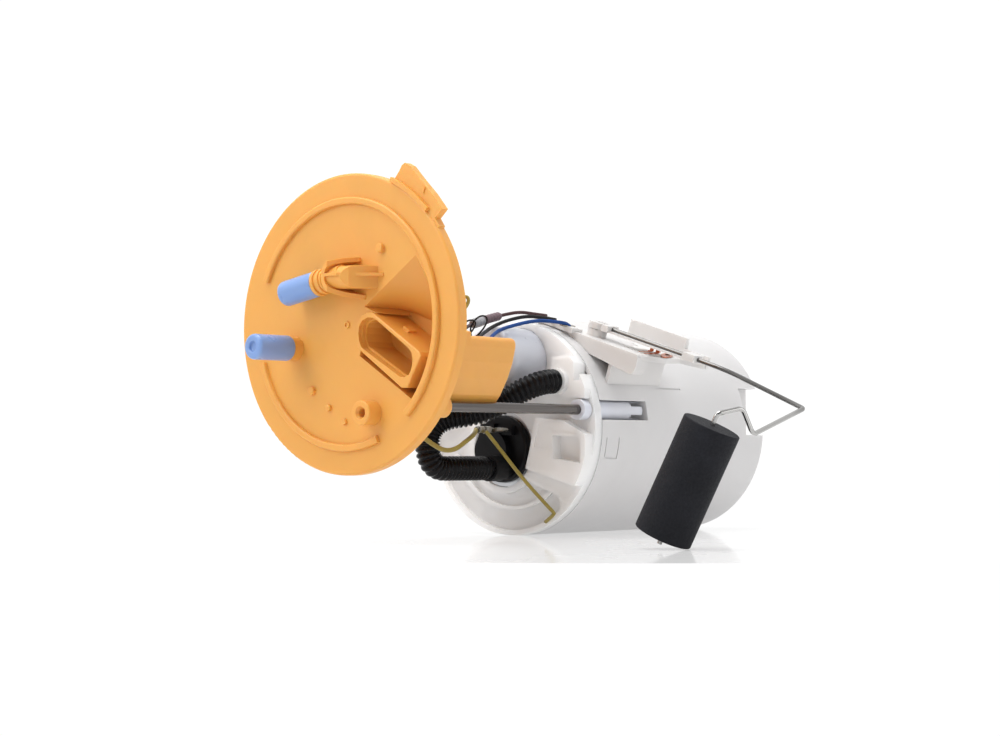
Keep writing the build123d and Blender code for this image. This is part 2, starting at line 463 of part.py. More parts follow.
OUTLET = (2.5, -67.2)
endcap = cylx(17.0, 111.5, 116.2, PUMP_Y, PUMP_Z)
endcap = fillet(endcap.edges().filter_by(GeomType.CIRCLE).sort_by(Axis.X)[0], 1.6)
endcap += cylx(PUMP_R - 0.85, 115.9, 124.0, PUMP_Y, PUMP_Z)
endcap += cylx(10.5, 107.6, 112.0, PUMP_Y + 3.5, PUMP_Z - 1.0)
endcap += cylx(5.9, 108.0, 112.0, *OUTLET) + cylx(4.0, 99.0, 108.5, *OUTLET)
endcap -= cylx(2.6, 98.0, 126.0, *OUTLET)
endcap -= cylx(5.0, 120.0, 126.0, PUMP_Y, PUMP_Z)
TERM = [(0.0, -48.2), (11.5, -47.2)]
for (ty, tz) in TERM:
    endcap += box(108.4, 112.0, ty - 4.6, ty + 4.6, tz - 2.4, tz + 2.4)
for (ty, tz) in TERM:
    endcap -= box(100, 130.0, ty - 3.2, ty + 3.2, tz - 0.45, tz + 0.45)
NODES["pump_end_cap"] = endcap
NODES["pump_terminals"] = [box(102.0, 126.0, ty - 3.15, ty + 3.15, tz - 0.4, tz + 0.4) for (ty, tz) in TERM]

NODES["pump_bearings"] = [
    cylx(4.95, 120.1, 124.5, PUMP_Y, PUMP_Z) - cylx(2.03, 119, 126, PUMP_Y, PUMP_Z),
    cylx(4.4, 180.2, 184.0, PUMP_Y, PUMP_Z) - cylx(2.03, 179, 186, PUMP_Y, PUMP_Z),
]
mags = []
for s in (-1, 1):
    m = cylx(PUMP_R - 0.85, 137, 172, PUMP_Y, PUMP_Z) - cylx(15.3, 136, 173, PUMP_Y, PUMP_Z)
    m = m & box(136, 173, PUMP_Y - 14.5, PUMP_Y + 14.5, PUMP_Z + (2 if s > 0 else -30), PUMP_Z + (30 if s > 0 else -2))
    mags.append(m)
NODES["pump_magnets"] = mags
brushes = []
for s in (-1, 1):
    brushes.append(box(124.6, 131.4, PUMP_Y + s * 6.0 - 2.2, PUMP_Y + s * 6.0 + 2.2, PUMP_Z - 2.6, PUMP_Z + 2.6))
NODES["pump_brushes"] = brushes
arm = cylx(1.95, 120.5, 193.0, PUMP_Y, PUMP_Z) + cylx(9.5, 131.6, 135.0, PUMP_Y, PUMP_Z)
arm += cylx(14.6, 138.0, 171.0, PUMP_Y, PUMP_Z)
for k in range(8):
    arm -= Pos(0, PUMP_Y, PUMP_Z) * Rot(45 * k, 0, 0) * box(137, 172, 12.4, 16.0, -1.0, 1.0)
arm += cylx(9.0, 135.0, 138.0, PUMP_Y, PUMP_Z) + cylx(9.0, 171.0, 174.0, PUMP_Y, PUMP_Z)
NODES["pump_armature"] = arm
imp = cylx(14.0, 187.4, 190.6, PUMP_Y, PUMP_Z) - cylx(1.98, 187, 191, PUMP_Y, PUMP_Z)
for k in range(20):
    imp -= Pos(0, PUMP_Y, PUMP_Z) * Rot(18 * k, 0, 0) * box(187, 191, 11.6, 15.0, -0.7, 0.7)
NODES["pump_impeller"] = imp
plates = [
    (cylx(PUMP_R - 0.85, 180.0, 186.9, PUMP_Y, PUMP_Z) - cylx(4.45, 180.0, 184.1, PUMP_Y, PUMP_Z)) - cylx(2.3, 179, 188, PUMP_Y, PUMP_Z) - cylx(2.2, 179, 188, PUMP_Y - 12.6, PUMP_Z),
    (cylx(PUMP_R - 0.85, 187.0, 199.1, PUMP_Y, PUMP_Z) - cylx(14.4, 186, 191.0, PUMP_Y, PUMP_Z)) + (cylx(5.6, 199.0, 206.0, PUMP_Y + 10.0, PUMP_Z)),
]
plates[1] -= cylx(3.0, 190.5, 207.0, PUMP_Y + 10.0, PUMP_Z)
plates[1] -= cylx(2.3, 190.0, 195.0, PUMP_Y, PUMP_Z)
NODES["pump_plates"] = plates
iso = cylx(22.0, 121.0, 130.0, PUMP_Y, PUMP_Z) - cylx(PUMP_R + 0.1, 120, 131, PUMP_Y, PUMP_Z)
NODES["pump_isolator"] = iso

# strainer bag on the inlet, with its snap ring
sn = box(207.2, 252.0, PUMP_Y - 18.0, PUMP_Y + 24.0, PUMP_Z - 6.0, PUMP_Z + 6.0)
sn = fillet(sn.edges().filter_by(Axis.Z), 9.0)
sn = fillet(sn.edges().group_by(Axis.Z)[-1] + sn.edges().group_by(Axis.Z)[0], 3.0)
NODES["suction_strainer"] = sn
NODES["strainer_collar"] = cylx(8.0, 203.0, 207.15, PUMP_Y + 10.0, PUMP_Z) - cylx(5.65, 202, 208, PUMP_Y + 10.0, PUMP_Z)

# umbrella valve over the base's inlet holes
umb = cylx(8.5, 259.9, 261.3, *VALVE) + cylx(1.9, 252.0, 263.0, *VALVE)
umb += cylx(3.4, 256.5, 260.0, *VALVE)
NODES["inlet_valve"] = umb
jet = cylx(5.0, 226.0, 261.3, *JET) + cylx(2.9, 261.0, 263.5, *JET)
jet += box(228.0, 236.0, JET[0] - 4.0, JET[0] + 4.0, JET[1], JET[1] + 12.0)
jet -= cylx(1.6, 238.0, 265.0, *JET)
jet -= cylx(2.4, 225.0, 232.0, *JET)
NODES["jet_pump"] = jet

# ---------------------------------------------------------------------------
# hose from the pump outlet, round and up to the lid's port
# ---------------------------------------------------------------------------
HOSE_R = 5.75
HOSE = [(106.5, PORT[0], PORT[1]), (93.0, PORT[0], PORT[1]), (81.0, -13.0, -39.6), (57.5, 5.8, -43.4), (57.5, 5.8, -67.2), (78.5, OUTLET[0], OUTLET[1]), (98.3, OUTLET[0], OUTLET[1])]
hose = tube_path(HOSE, HOSE_R, None, "hose")
NODES["pump_hose"] = hose
NODES["hose_cuff"] = [
    cylx(6.6, 98.6, 107.4, *OUTLET) - cylx(4.05, 98, 109, *OUTLET),
]

# ---------------------------------------------------------------------------
# level sender
# ---------------------------------------------------------------------------


def sbox(x0, x1, t0, t1, n0, n1):
    return box(x0, x1, -t1, -t0, n0, n1)


def scyl(x, t, r, n0, n1):
    return Pos(x, -t, (n0 + n1) / 2) * Cylinder(r, abs(n1 - n0))


shell_cut = cylx(POT_R + 0.05, 100, 300, 0, 0)


def spoly(pts, n0, n1):
    """Polygon in (x, t) standing from n0 to n1."""
    sk = Plane(origin=(0, 0, n0), x_dir=(1, 0, 0), z_dir=(0, 0, 1)) * make_face(Polyline(*[(p[0], -p[1]) for p in pts], close=True))
    return extrude(sk, amount=n1 - n0, dir=(0, 0, 1))


# base plate in the plane of the arm, standing out past the reservoir's flank
PL_TOP = 55.3
hs = spoly([(127, -12), (174.5, -12), (174.5, 50), (170.5, 66.5), (168.5, 66.5), (161, 57.5), (146, 59.5), (136, 57), (127, 55)], 52.6, PL_TOP)
hs = fillet(hs.edges().filter_by(Axis.Z), 1.5)
# deep bar along its front edge, deeper towards its outer end
bar = Plane(origin=(127, 0, 0), x_dir=(0, 1, 0), z_dir=(1, 0, 0)) * make_face(Polyline((12, PL_TOP - 0.6), (12, 51.2), (-53.0, 44.9), (-54.6, 45.2), (-55.5, 46.4), (-55.8, 48.0), (-55.8, PL_TOP - 1.4), (-55.0, PL_TOP - 0.3), (-54.0, PL_TOP), (11, PL_TOP), close=True))
bar = extrude(bar, amount=8.2, dir=(1, 0, 0))
hs += bar
# back wall that stops the arm, with a lower step at its outer end
hs += sbox(170.6, 172.8, 14, 51, 54, 64.3) + sbox(170.6, 172.8, 50.5, 66.5, 52.6, 58.9)
for t in (18, 34, 49.6):
    hs += sbox(172.5, 174.5, t - 0.7, t + 0.7, 54, 62.0)
# walls underneath that stand on the reservoir
hs += sbox(134, 172, -11.5, -9.5, 48.0, 53.5) + sbox(170.2, 172.6, -12, 40, 36.0, 53.5) + sbox(150.4, 152.4, -12, 40, 36.0, 53.5)
hs += sbox(128, 172.0, 24.6, 26.6, 44.0, 53.5)
hs += sbox(129, 172.6, 38.2, 40.2, 34.0, 53.5)
hs -= shell_cut
# terminal ledge and its three slots
hs += sbox(124.5, 129, -11, 14, 54.4, 57.2)
for t in (-7.0, 1.0, 9.0):
    hs -= sbox(124, 132, t - 1.3, t + 1.3, 56.8, 58.5)
hs += sbox(129, 133, -11, 14, 55, 56.75)
# hinge boss
hs += scyl(PIV_X, PIV_T, 5.0, 50.5, 59.0) - shell_cut
hs -= scyl(PIV_X, PIV_T, WIRE_R + 0.08, 51.6, 60)
# seat for the card
hs -= spoly([(135.9, 38.8), (135.9, 55.0), (146.0, 56.2), (152.0, 55.2), (161.5, 50.6), (166.6, 41.0), (167.4, 30.6), (154.0, 30.6), (150.4, 37.0)], 54.5, 56.0)
NODES["sender_housing"] = snd(hs)
card = spoly([(136.2, 39.1), (136.2, 54.7), (146.0, 55.9), (151.9, 54.9), (161.2, 50.4), (166.3, 40.9), (167.1, 30.9), (154.2, 30.9), (150.6, 37.3)], 54.5, 55.5)
for rr, dd in ((32.5, 0.9), (29.1, 0.7)):
    card -= scyl(PIV_X, PIV_T, rr + dd, 55.32, 55.6) - scyl(PIV_X, PIV_T, rr - dd, 55.0, 56.0)
NODES["resistor_card"] = snd(card)
tracks = []
for rr, dd in ((32.5, 0.85), (29.1, 0.65)):
    ring = scyl(PIV_X, PIV_T, rr + dd, 55.33, 55.52) - scyl(PIV_X, PIV_T, rr - dd, 55.0, 56.0)
    wedge = spoly([(PIV_X, PIV_T), (PIV_X + 60 * math.sin(math.radians(-1.5)), PIV_T + 60 * math.cos(math.radians(-1.5))), (PIV_X + 90 * math.sin(math.radians(28)), PIV_T + 90 * math.cos(math.radians(28))), (PIV_X + 60 * math.sin(math.radians(56.5)), PIV_T + 60 * math.cos(math.radians(56.5)))], 55, 56)
    tracks.append(snd(ring & wedge))
NODES["resistor_tracks"] = tracks
tm = []
for t in (-7.0, 1.0, 9.0):
    tm.append(snd(sbox(121.5, 131.5, t - 1.2, t + 1.2, 56.82, 57.5)))
NODES["sender_terminals"] = tm

# arm wire: hinge pin, arm, crank, float axle
FT = Vector(*FLOAT_TOP)
FB = Vector(*FLOAT_BOT)
FA = (FB - FT).normalized()
P0 = snd_pt(PIV_X, PIV_T, PIV_N)
P00 = snd_pt(PIV_X, PIV_T, PIV_N - 8.5)
S1 = (140.1, -112.1, -19.5)
C1 = (111.5, -174.0, -39.6)
C2 = (68.7, -175.1, -51.5)
C3 = (63.8, -173.0, -40.0)
A1 = tuple(FT - FA * 5.6)
A2 = tuple(FB + FA * 3.6)
WIRE = [P00, P0, S1, C1, C2, C3, A1, A2]
wire = tube_path(WIRE, WIRE_R, [2.6, 60.0, 3.0, 3.0, 3.0, 2.4], "float arm")
NODES["float_arm_wire"] = wire

# lever that clips the wire
aw = Vector(*S1) - Vector(*P0)
al = aw.length
a_loc = math.degrees(math.atan2(-(S1[0] - PIV_X), math.hypot(S1[1] - P0[1], S1[2] - P0[2])))


def on_lever(obj):
    """obj is built with the arm along local -Y from the pivot; turned to the arm's line."""
    return snd(Pos(PIV_X, -PIV_T, 0) * Rot(0, 0, -a_loc) * obj)


lev = Pos(0, 0, 60.9) * Cylinder(5.2, 3.4)
lev += box(-3.4, 3.4, -62.0, 0, 59.35, 60.25)
lev = fillet(lev.edges().filter_by(Axis.Z), 0.6)
lev += box(-4.0, 4.0, -62.4, -55.2, 59.35, 63.0)
lev += box(3.0, 11.5, -36.0, -22.0, 59.35, 60.5)
lev += box(-4.6, 4.6, -9.0, -5.0, 59.35, 62.6)
lever = on_lever(lev)
wire_cut = tube_path([P00, P0, S1, C1], WIRE_R + 0.04, [2.6, 60.0], "lever groove")
lever -= wire_cut
slot = on_lever(box(-WIRE_R - 0.04, WIRE_R + 0.04, -55.1, -9.1, PIV_N, 64) + box(-WIRE_R - 0.04, WIRE_R + 0.04, -4.9, 1.2, PIV_N, 64))
lever -= slot
NODES["arm_lever"] = lever
leaf = []
for rr in (27.4, 31.0):
    blade = box(4.0, 11.0, -rr - 1.0, -rr + 1.0, 59.0, 59.32)
    blade += box(10.6, 11.0, -rr - 1.0, -rr + 1.0, 55.85, 59.3)
    blade += box(8.6, 11.0, -rr - 0.6, -rr + 0.6, 55.6, 55.9)
    leaf.append(on_lever(blade))
leaf.append(on_lever(box(4.0, 6.0, -30.1, -28.3, 59.0, 59.32)))
leaf[0] = (leaf[0] + leaf[1] + leaf[2])
leaf = [leaf[0]]
NODES["wiper_contact"] = leaf

fl = cyl_along(FLOAT_TOP, tuple(FA), FLOAT_R, (FB - FT).length)
fl = fillet(fl.edges().filter_by(GeomType.CIRCLE), 0.6)
fl -= cyl_along(tuple(FT - FA * 2), tuple(FA), WIRE_R + 0.1, (FB - FT).length + 4)
NODES["float_body"] = fl

# ---------------------------------------------------------------------------
# leads
# ---------------------------------------------------------------------------
LEAD_R = 1.15
tt = {}
for nm, t in (("brown", -7.0), ("black", 1.0), ("blue", 9.0)):
    tt[nm] = snd_pt(120.2, t, 57.2)
# each sender lead: from the tail of its connector pin to its terminal
tails = [(BOX_X + 6.0, dn(d, 10.9)[0], dn(d, 10.9)[1]) for d in PIN_D]
BROWN = [(55.3, tails[0][1], tails[0][2]), (64.0, -12.6, 1.6), (86.0, -8.0, 6.4), (98.0, -8.6, 9.2), (109.5, -9.2, 11.0), tt["brown"]]
BLACK = [(55.3, tails[1][1], tails[1][2]), (63.0, -21.6, -4.0), (73.0, -16.6, -1.6), (84.0, -13.2, 2.6), (96.5, -13.0, 6.4), (109.0, -14.6, 8.8), tt["black"]]
BLUE = [(55.3, tails[2][1], tails[2][2]), (63.0, -28.4, -9.0), (72.0, -21.0, -4.6), (83.5, -17.4, 0.6), (96.5, -17.6, 3.8), (109.5, -20.6, 6.2), tt["blue"]]
NODES["brown_lead"] = tube_path(BROWN, LEAD_R, [12.0, 40.0, 90.0, 24.0], "brown")
NODES["black_lead"] = tube_path(BLACK, LEAD_R, None, "black")
NODES["blue_lead"] = tube_path(BLUE, LEAD_R, None, "blue")
OLIVE_R = 1.3
OLIVE = [(55.9, tails[3][1], tails[3][2]), (55.4, -37.6, -26.2), (46.5, -25.5, -42.0), (44.0, -12.0, -53.0), (54.0, -9.4, -59.6), (66.0, -7.6, -56.6), (77.0, -4.2, -50.4), (86.3, -0.2, -48.2)]
NODES["pump_lead"] = tube_path(OLIVE, OLIVE_R, None, "olive")
GROUND_R = 1.0
GROUND = [(91.0, -2.7, -48.8), (96.5, -5.6, -56.0), (103.0, -15.4, -70.0), (106.8, -25.0, -85.4), (108.6, -27.8, -90.0), (112.4, -22.0, -93.6)]
NODES["ground_lead"] = tube_path(GROUND, GROUND_R, None, "ground")
# push-on receptacle at the pump terminal
sp = box(94.0, 107.4, -4.0, 4.0, -49.7, -46.7) - box(96.5, 109.0, -3.25, 3.25, -48.65, -47.75)
sp += cylx(1.9, 87.0, 94.5, 0.0, -48.2)
NODES["terminal_receptacle"] = sp
# sleeve round the sender leads' splice and the tie behind it
sl_a, sl_b = Vector(*BROWN[1]), Vector(*BROWN[2])
sl_d = (sl_b - sl_a).normalized()
sl_p = sl_a + sl_d * 7.4
NODES["splice_sleeve"] = cyl_along(tuple(sl_p), tuple(sl_d), 2.5, 11.0) - cyl_along(tuple(sl_p - sl_d), tuple(sl_d), LEAD_R + 0.03, 13.0)

# ---------------------------------------------------------------------------
# write
# ---------------------------------------------------------------------------
for name, shp in NODES.items():
    if isinstance(shp, (list, tuple)):
        solids = []
        for s in shp:
            solids.extend(s.solids())
        out = Compound(children=solids) if len(solids) > 1 else solids[0]
    else:
        ss = shp.solids()
        out = Compound(children=list(ss)) if len(ss) > 1 else ss[0]
    out.label = name
    export_step(out, "parts/%s.step" % name)
    bb = out.bounding_box()
    print("%-22s solids %d  x %.1f..%.1f y %.1f..%.1f z %.1f..%.1f" % (name, len(out.solids()), bb.min.X, bb.max.X, bb.min.Y, bb.max.Y, bb.min.Z, bb.max.Z))
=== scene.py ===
import math

import bmesh
import bpy
from mathutils import Matrix, Vector


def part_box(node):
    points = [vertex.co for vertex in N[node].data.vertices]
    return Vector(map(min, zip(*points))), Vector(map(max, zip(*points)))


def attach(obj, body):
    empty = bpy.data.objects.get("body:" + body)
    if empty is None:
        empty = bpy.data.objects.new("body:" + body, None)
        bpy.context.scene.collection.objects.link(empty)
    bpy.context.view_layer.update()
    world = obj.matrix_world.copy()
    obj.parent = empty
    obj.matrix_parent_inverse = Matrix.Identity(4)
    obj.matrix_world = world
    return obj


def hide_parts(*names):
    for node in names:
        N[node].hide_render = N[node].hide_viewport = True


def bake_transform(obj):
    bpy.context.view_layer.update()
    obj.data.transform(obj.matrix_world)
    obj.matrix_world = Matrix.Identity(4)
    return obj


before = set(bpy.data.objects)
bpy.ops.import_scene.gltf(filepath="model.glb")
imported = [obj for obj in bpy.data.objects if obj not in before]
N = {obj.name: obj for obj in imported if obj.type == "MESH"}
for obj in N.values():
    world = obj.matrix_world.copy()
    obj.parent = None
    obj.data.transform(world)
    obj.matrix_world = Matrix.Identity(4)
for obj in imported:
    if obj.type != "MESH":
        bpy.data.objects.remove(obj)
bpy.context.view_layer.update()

MM = 0.001
FLOOR_Z = -0.10112

# ---------------------------------------------------------------------------
# camera, at the photograph's viewing angle
# ---------------------------------------------------------------------------
cam_data = bpy.data.cameras.new("camera")
cam_data.lens = 74.08
cam_data.sensor_width = 36.0
cam_data.sensor_fit = "HORIZONTAL"
cam_data.clip_start = 0.01
cam_data.clip_end = 50.0
cam = bpy.data.objects.new("camera", cam_data)
cam.location = (-0.68142, -0.67086, -0.05840)
cam.rotation_euler = (math.radians(92.297), 0.0, math.radians(-49.533))
bpy.context.scene.collection.objects.link(cam)
bpy.context.scene.camera = cam
bpy.context.scene.view_settings.view_transform = "Standard"

# ---------------------------------------------------------------------------
# node helpers
# ---------------------------------------------------------------------------


class Mat:
    """A procedural material around one Principled shader."""

    def __init__(self, name, rough=0.5, metallic=0.0, spec=0.5, ior=1.5):
        self.m = bpy.data.materials.new(name)
        self.m.use_nodes = True
        self.t = self.m.node_tree
        self.p = self.t.nodes["Principled BSDF"]
        self.p.inputs["Roughness"].default_value = rough
        self.p.inputs["Metallic"].default_value = metallic
        self.p.inputs["Specular IOR Level"].default_value = spec
        self.p.inputs["IOR"].default_value = ior
        self.tc = self.t.nodes.new("ShaderNodeTexCoord")
        self.bump_from = None

    def mapped(self, scale=(1, 1, 1), rot=(0, 0, 0)):
        mp = self.t.nodes.new("ShaderNodeMapping")
        mp.inputs["Scale"].default_value = scale
        mp.inputs["Rotation"].default_value = rot
        self.t.links.new(self.tc.outputs["Object"], mp.inputs["Vector"])
        return mp.outputs["Vector"]

    def noise(self, scale, detail=3.0, rough=0.5, vec=None, dist=0.0):
        n = self.t.nodes.new("ShaderNodeTexNoise")
        n.inputs["Scale"].default_value = scale
        n.inputs["Detail"].default_value = detail
        n.inputs["Roughness"].default_value = rough
        n.inputs["Distortion"].default_value = dist
        self.t.links.new(vec if vec is not None else self.tc.outputs["Object"], n.inputs["Vector"])
        return n.outputs["Fac"]

    def voronoi(self, scale, vec=None, feature="F1"):
        n = self.t.nodes.new("ShaderNodeTexVoronoi")
        n.feature = feature
        n.inputs["Scale"].default_value = scale
        self.t.links.new(vec if vec is not None else self.tc.outputs["Object"], n.inputs["Vector"])
        return n.outputs["Distance"]

    def wave(self, scale, direction="X", vec=None, dist=0.0, detail=0.0, dscale=1.0):
        n = self.t.nodes.new("ShaderNodeTexWave")
        n.bands_direction = direction
        n.inputs["Scale"].default_value = scale
        n.inputs["Distortion"].default_value = dist
        n.inputs["Detail"].default_value = detail
        n.inputs["Detail Scale"].default_value = dscale
        self.t.links.new(vec if vec is not None else self.tc.outputs["Object"], n.inputs["Vector"])
        return n.outputs["Fac"]

    def math(self, op, a, b=0.0, clamp=False):
        n = self.t.nodes.new("ShaderNodeMath")
        n.operation = op
        n.use_clamp = clamp
        for i, v in enumerate((a, b)):
            if isinstance(v, (int, float)):
                n.inputs[i].default_value = v
            else:
                self.t.links.new(v, n.inputs[i])
        return n.outputs[0]

    def ramp(self, fac, stops):
        n = self.t.nodes.new("ShaderNodeValToRGB")
        el = n.color_ramp.elements
        while len(el) > 1:
            el.remove(el[-1])
        el[0].position, el[0].color = stops[0][0], (*stops[0][1], 1.0)
        for pos, col in stops[1:]:
            e = el.new(pos)
            e.color = (*col, 1.0)
        self.t.links.new(fac, n.inputs["Fac"])
        return n.outputs["Color"]

    def range(self, fac, lo, hi, a=0.3, b=0.7):
        n = self.t.nodes.new("ShaderNodeMapRange")
        n.inputs["From Min"].default_value = a
        n.inputs["From Max"].default_value = b
        n.inputs["To Min"].default_value = lo
        n.inputs["To Max"].default_value = hi
        self.t.links.new(fac, n.inputs["Value"])
        return n.outputs["Result"]

    def colour(self, out):
        self.t.links.new(out, self.p.inputs["Base Color"])
        return self

    def rough(self, out):
        self.t.links.new(out, self.p.inputs["Roughness"])
        return self

    def bump(self, height, strength=0.2, distance=0.0001):
        n = self.t.nodes.new("ShaderNodeBump")
        n.inputs["Strength"].default_value = strength
        n.inputs["Distance"].default_value = distance
        self.t.links.new(height, n.inputs["Height"])
        if self.bump_from is not None:
            self.t.links.new(self.bump_from, n.inputs["Normal"])
        self.bump_from = n.outputs["Normal"]
        self.t.links.new(self.bump_from, self.p.inputs["Normal"])
        return self

    def set(self, **kw):
        for k, v in kw.items():
            self.p.inputs[k.replace("_", " ")].default_value = v
        return self


def shade(c, k):
    return tuple(max(0.0, min(1.0, v * k)) for v in c)


def moulded(name, col, rough=0.42, var=0.06, grain=2600.0, bump=0.10, sss=0.0, radius=(1, 1, 1), sscale=0.002, spec=0.5, flow=26.0):
    """Injection-moulded plastic: faint flow mottling, uneven gloss and a fine surface grain."""
    m = Mat(name, rough, spec=spec)
    n1 = m.noise(flow, 5.0, 0.6, dist=0.6)
    m.colour(m.ramp(n1, [(0.30, shade(col, 1 - var)), (0.52, col), (0.72, shade(col, 1 + var * 0.6))]))
    n2 = m.noise(flow * 9, 4.0, 0.55)
    m.rough(m.range(n2, rough - 0.06, rough + 0.07))
    m.bump(m.noise(grain, 2.0, 0.5), bump, 0.00006)
    m.bump(m.noise(60.0, 2.0, 0.5), 0.06, 0.0006)
    if sss:
        m.set(Subsurface_Weight=sss, Subsurface_Scale=sscale)
        m.p.inputs["Subsurface Radius"].default_value = radius
    return m.m


def wire_mat(name, col, rough=0.40, spec=0.22):
    m = Mat(name, rough, spec=spec)
    n1 = m.noise(90.0, 4.0, 0.6)
    m.colour(m.ramp(n1, [(0.3, shade(col, 0.82)), (0.55, col), (0.75, shade(col, 1.22))]))
    m.rough(m.range(m.noise(420.0, 3.0), rough - 0.07, rough + 0.12))
    m.bump(m.noise(1500.0, 3.0), 0.12, 0.00005)
    return m.m


def steel(name, col, rough=0.26, axis="X", streak=1.0, bump=0.0):
    """Drawn or ground steel: faint lines along or round the part and a slightly uneven gloss."""
    m = Mat(name, rough, metallic=1.0)
    sc = {"X": (10, 700, 700), "R": (1500, 40, 40), "Z": (700, 700, 10), "N": (60, 60, 60)}[axis]
    v = m.mapped(sc)
    n1 = m.noise(1.0, 3.0, 0.5, vec=v)
    m.colour(m.ramp(n1, [(0.30, shade(col, 1 - 0.16 * streak)), (0.55, col), (0.75, shade(col, 1 + 0.10 * streak))]))
    m.rough(m.range(n1, rough - 0.04, rough + 0.06))
    if bump:
        m.bump(n1, bump, 0.00002)
    m.bump(m.noise(45.0, 2.0), 0.04, 0.0003)
    return m.m


YEL = (0.775, 0.372, 0.074)
M = {}
M["yellow"] = moulded("acetal_yellow", YEL, 0.44, 0.045, 2400.0, 0.10, sss=0.34, radius=(1.0, 0.42, 0.10), sscale=0.0032, flow=20.0)
# one white acetal in three copies: the pot and sender copies are darkened (painted shade) and the lid and jet-pump
# copy is lightened (painted light), standing in for how much light reaches them
M["white"] = moulded("acetal_white_painted_darker", (0.665, 0.655, 0.655), 0.40, 0.03, 2200.0, 0.09, sss=0.35, radius=(1.0, 0.95, 0.9), sscale=0.004, flow=16.0)
M["sender"] = moulded("acetal_sender_painted_darker", (0.66, 0.645, 0.635), 0.38, 0.03, 2400.0, 0.08, sss=0.35, radius=(1.0, 0.95, 0.9), sscale=0.003, flow=26.0)
M["white_painted_lighter"] = moulded("acetal_lid_painted_lighter", (0.90, 0.895, 0.89), 0.36, 0.03, 2600.0, 0.08, sss=0.7, radius=(1.0, 0.97, 0.94), sscale=0.010, flow=30.0)
M["grey"] = moulded("acetal_grey", (0.58, 0.60, 0.66), 0.33, 0.04, 2400.0, 0.07, sss=0.35, radius=(0.9, 0.95, 1.0), sscale=0.004, flow=22.0)
M["bush"] = moulded("acetal_bush", (0.70, 0.72, 0.79), 0.34, 0.03, 2400.0, 0.07, sss=0.4, radius=(0.9, 0.95, 1.0), sscale=0.003, flow=30.0)
M["black"] = moulded("nylon_black", (0.005, 0.005, 0.006), 0.42, 0.4, 1800.0, 0.10, flow=40.0, spec=0.16)
M["blackmatt"] = moulded("rubber_black", (0.010, 0.010, 0.011), 0.55, 0.3, 1400.0, 0.2, flow=60.0, spec=0.2)
M["valve"] = moulded("rubber_brown", (0.06, 0.035, 0.02), 0.5, 0.2, 1400.0, 0.15, flow=60.0)
# painted reflection: the guide rods' steel is darkened and strongly streaked along its length, standing in for the
# dark and bright reflection bands along them
M["rod"] = steel("steel_rod", (0.150, 0.138, 0.132), 0.17, "X", 2.2)
# spring wire: bright on the crank and axle; along the upper arm the colour is darkened by X position (0.100 to 0.118
# m), a painted dark reflection
m = Mat("steel_wire", 0.15, metallic=1.0)
sep = m.t.nodes.new("ShaderNodeSeparateXYZ")
m.t.links.new(m.tc.outputs["Object"], sep.inputs["Vector"])
far = m.range(sep.outputs["X"], 0.0, 0.9, 0.100, 0.118)
n1 = m.noise(160.0, 3.0, 0.5)
m.colour(m.ramp(m.math("ADD", far, m.math("MULTIPLY", n1, 0.12)), [(0.0, (0.46, 0.455, 0.445)), (0.95, (0.15, 0.145, 0.14))]))
m.rough(m.range(n1, 0.12, 0.20))
m.bump(m.noise(45.0, 2.0), 0.04, 0.0003)
M["arm"] = m.m
M["spring"] = steel("steel_spring", (0.36, 0.36, 0.37), 0.30, "N")
M["can"] = steel("steel_can", (0.62, 0.63, 0.65), 0.30, "R")
M["tin"] = steel("tin_plate", (0.46, 0.44, 0.39), 0.24, "N", 1.4, 0.1)
M["copper"] = steel("copper_strip", (0.60, 0.20, 0.10), 0.30, "N", 1.6)
M["lam"] = steel("laminations", (0.33, 0.31, 0.29), 0.45, "R")
M["w_brown"] = wire_mat("insulation_brown", (0.070, 0.032, 0.034))
M["w_black"] = wire_mat("insulation_black", (0.008, 0.008, 0.009))
M["w_blue"] = wire_mat("insulation_blue", (0.009, 0.055, 0.23))
M["w_olive"] = wire_mat("insulation_olive", (0.325, 0.25, 0.050), 0.36, 0.4)
M["sleeve"] = wire_mat("shrink_sleeve", (0.165, 0.115, 0.13), 0.42)

# clear grey wrap
m = Mat("clear_wrap", 0.22)
m.colour(m.ramp(m.noise(120.0, 4.0), [(0.3, (0.10, 0.10, 0.11)), (0.6, (0.24, 0.24, 0.26)), (0.8, (0.5, 0.5, 0.52))]))
m.bump(m.noise(380.0, 3.0), 0.5, 0.0003)
M["wrap"] = m.m

# blue translucent caps
m = Mat("cap_blue", 0.30)
col = (0.215, 0.345, 0.65)
m.colour(m.ramp(m.noise(38.0, 2.0), [(0.3, shade(col, 0.94)), (0.55, col), (0.8, (0.28, 0.43, 0.74))]))
m.rough(m.range(m.noise(120.0, 2.0), 0.27, 0.36))
m.bump(m.noise(2400.0, 2.0), 0.05, 0.00004)
m.set(Subsurface_Weight=0.25, Subsurface_Scale=0.0012)
m.p.inputs["Subsurface Radius"].default_value = (0.5, 0.7, 1.0)
M["cap"] = m.m

# closed-cell foam float: pitted cut skin in the bump, with a dark mottled colour
m = Mat("foam_black", 0.72, spec=0.24)
cells = m.voronoi(1500.0)
grit = m.noise(900.0, 4.0, 0.7)
mix = m.math("MULTIPLY", cells, grit)
m.colour(m.ramp(m.noise(46.0, 5.0, 0.62), [(0.30, (0.005, 0.0055, 0.008)), (0.55, (0.008, 0.0085, 0.012)), (0.76, (0.014, 0.015, 0.021))]))
m.rough(m.range(grit, 0.62, 0.85))
m.bump(mix, 0.55, 0.00035)
m.bump(m.noise(240.0, 3.0), 0.25, 0.0003)
M["foam"] = m.m

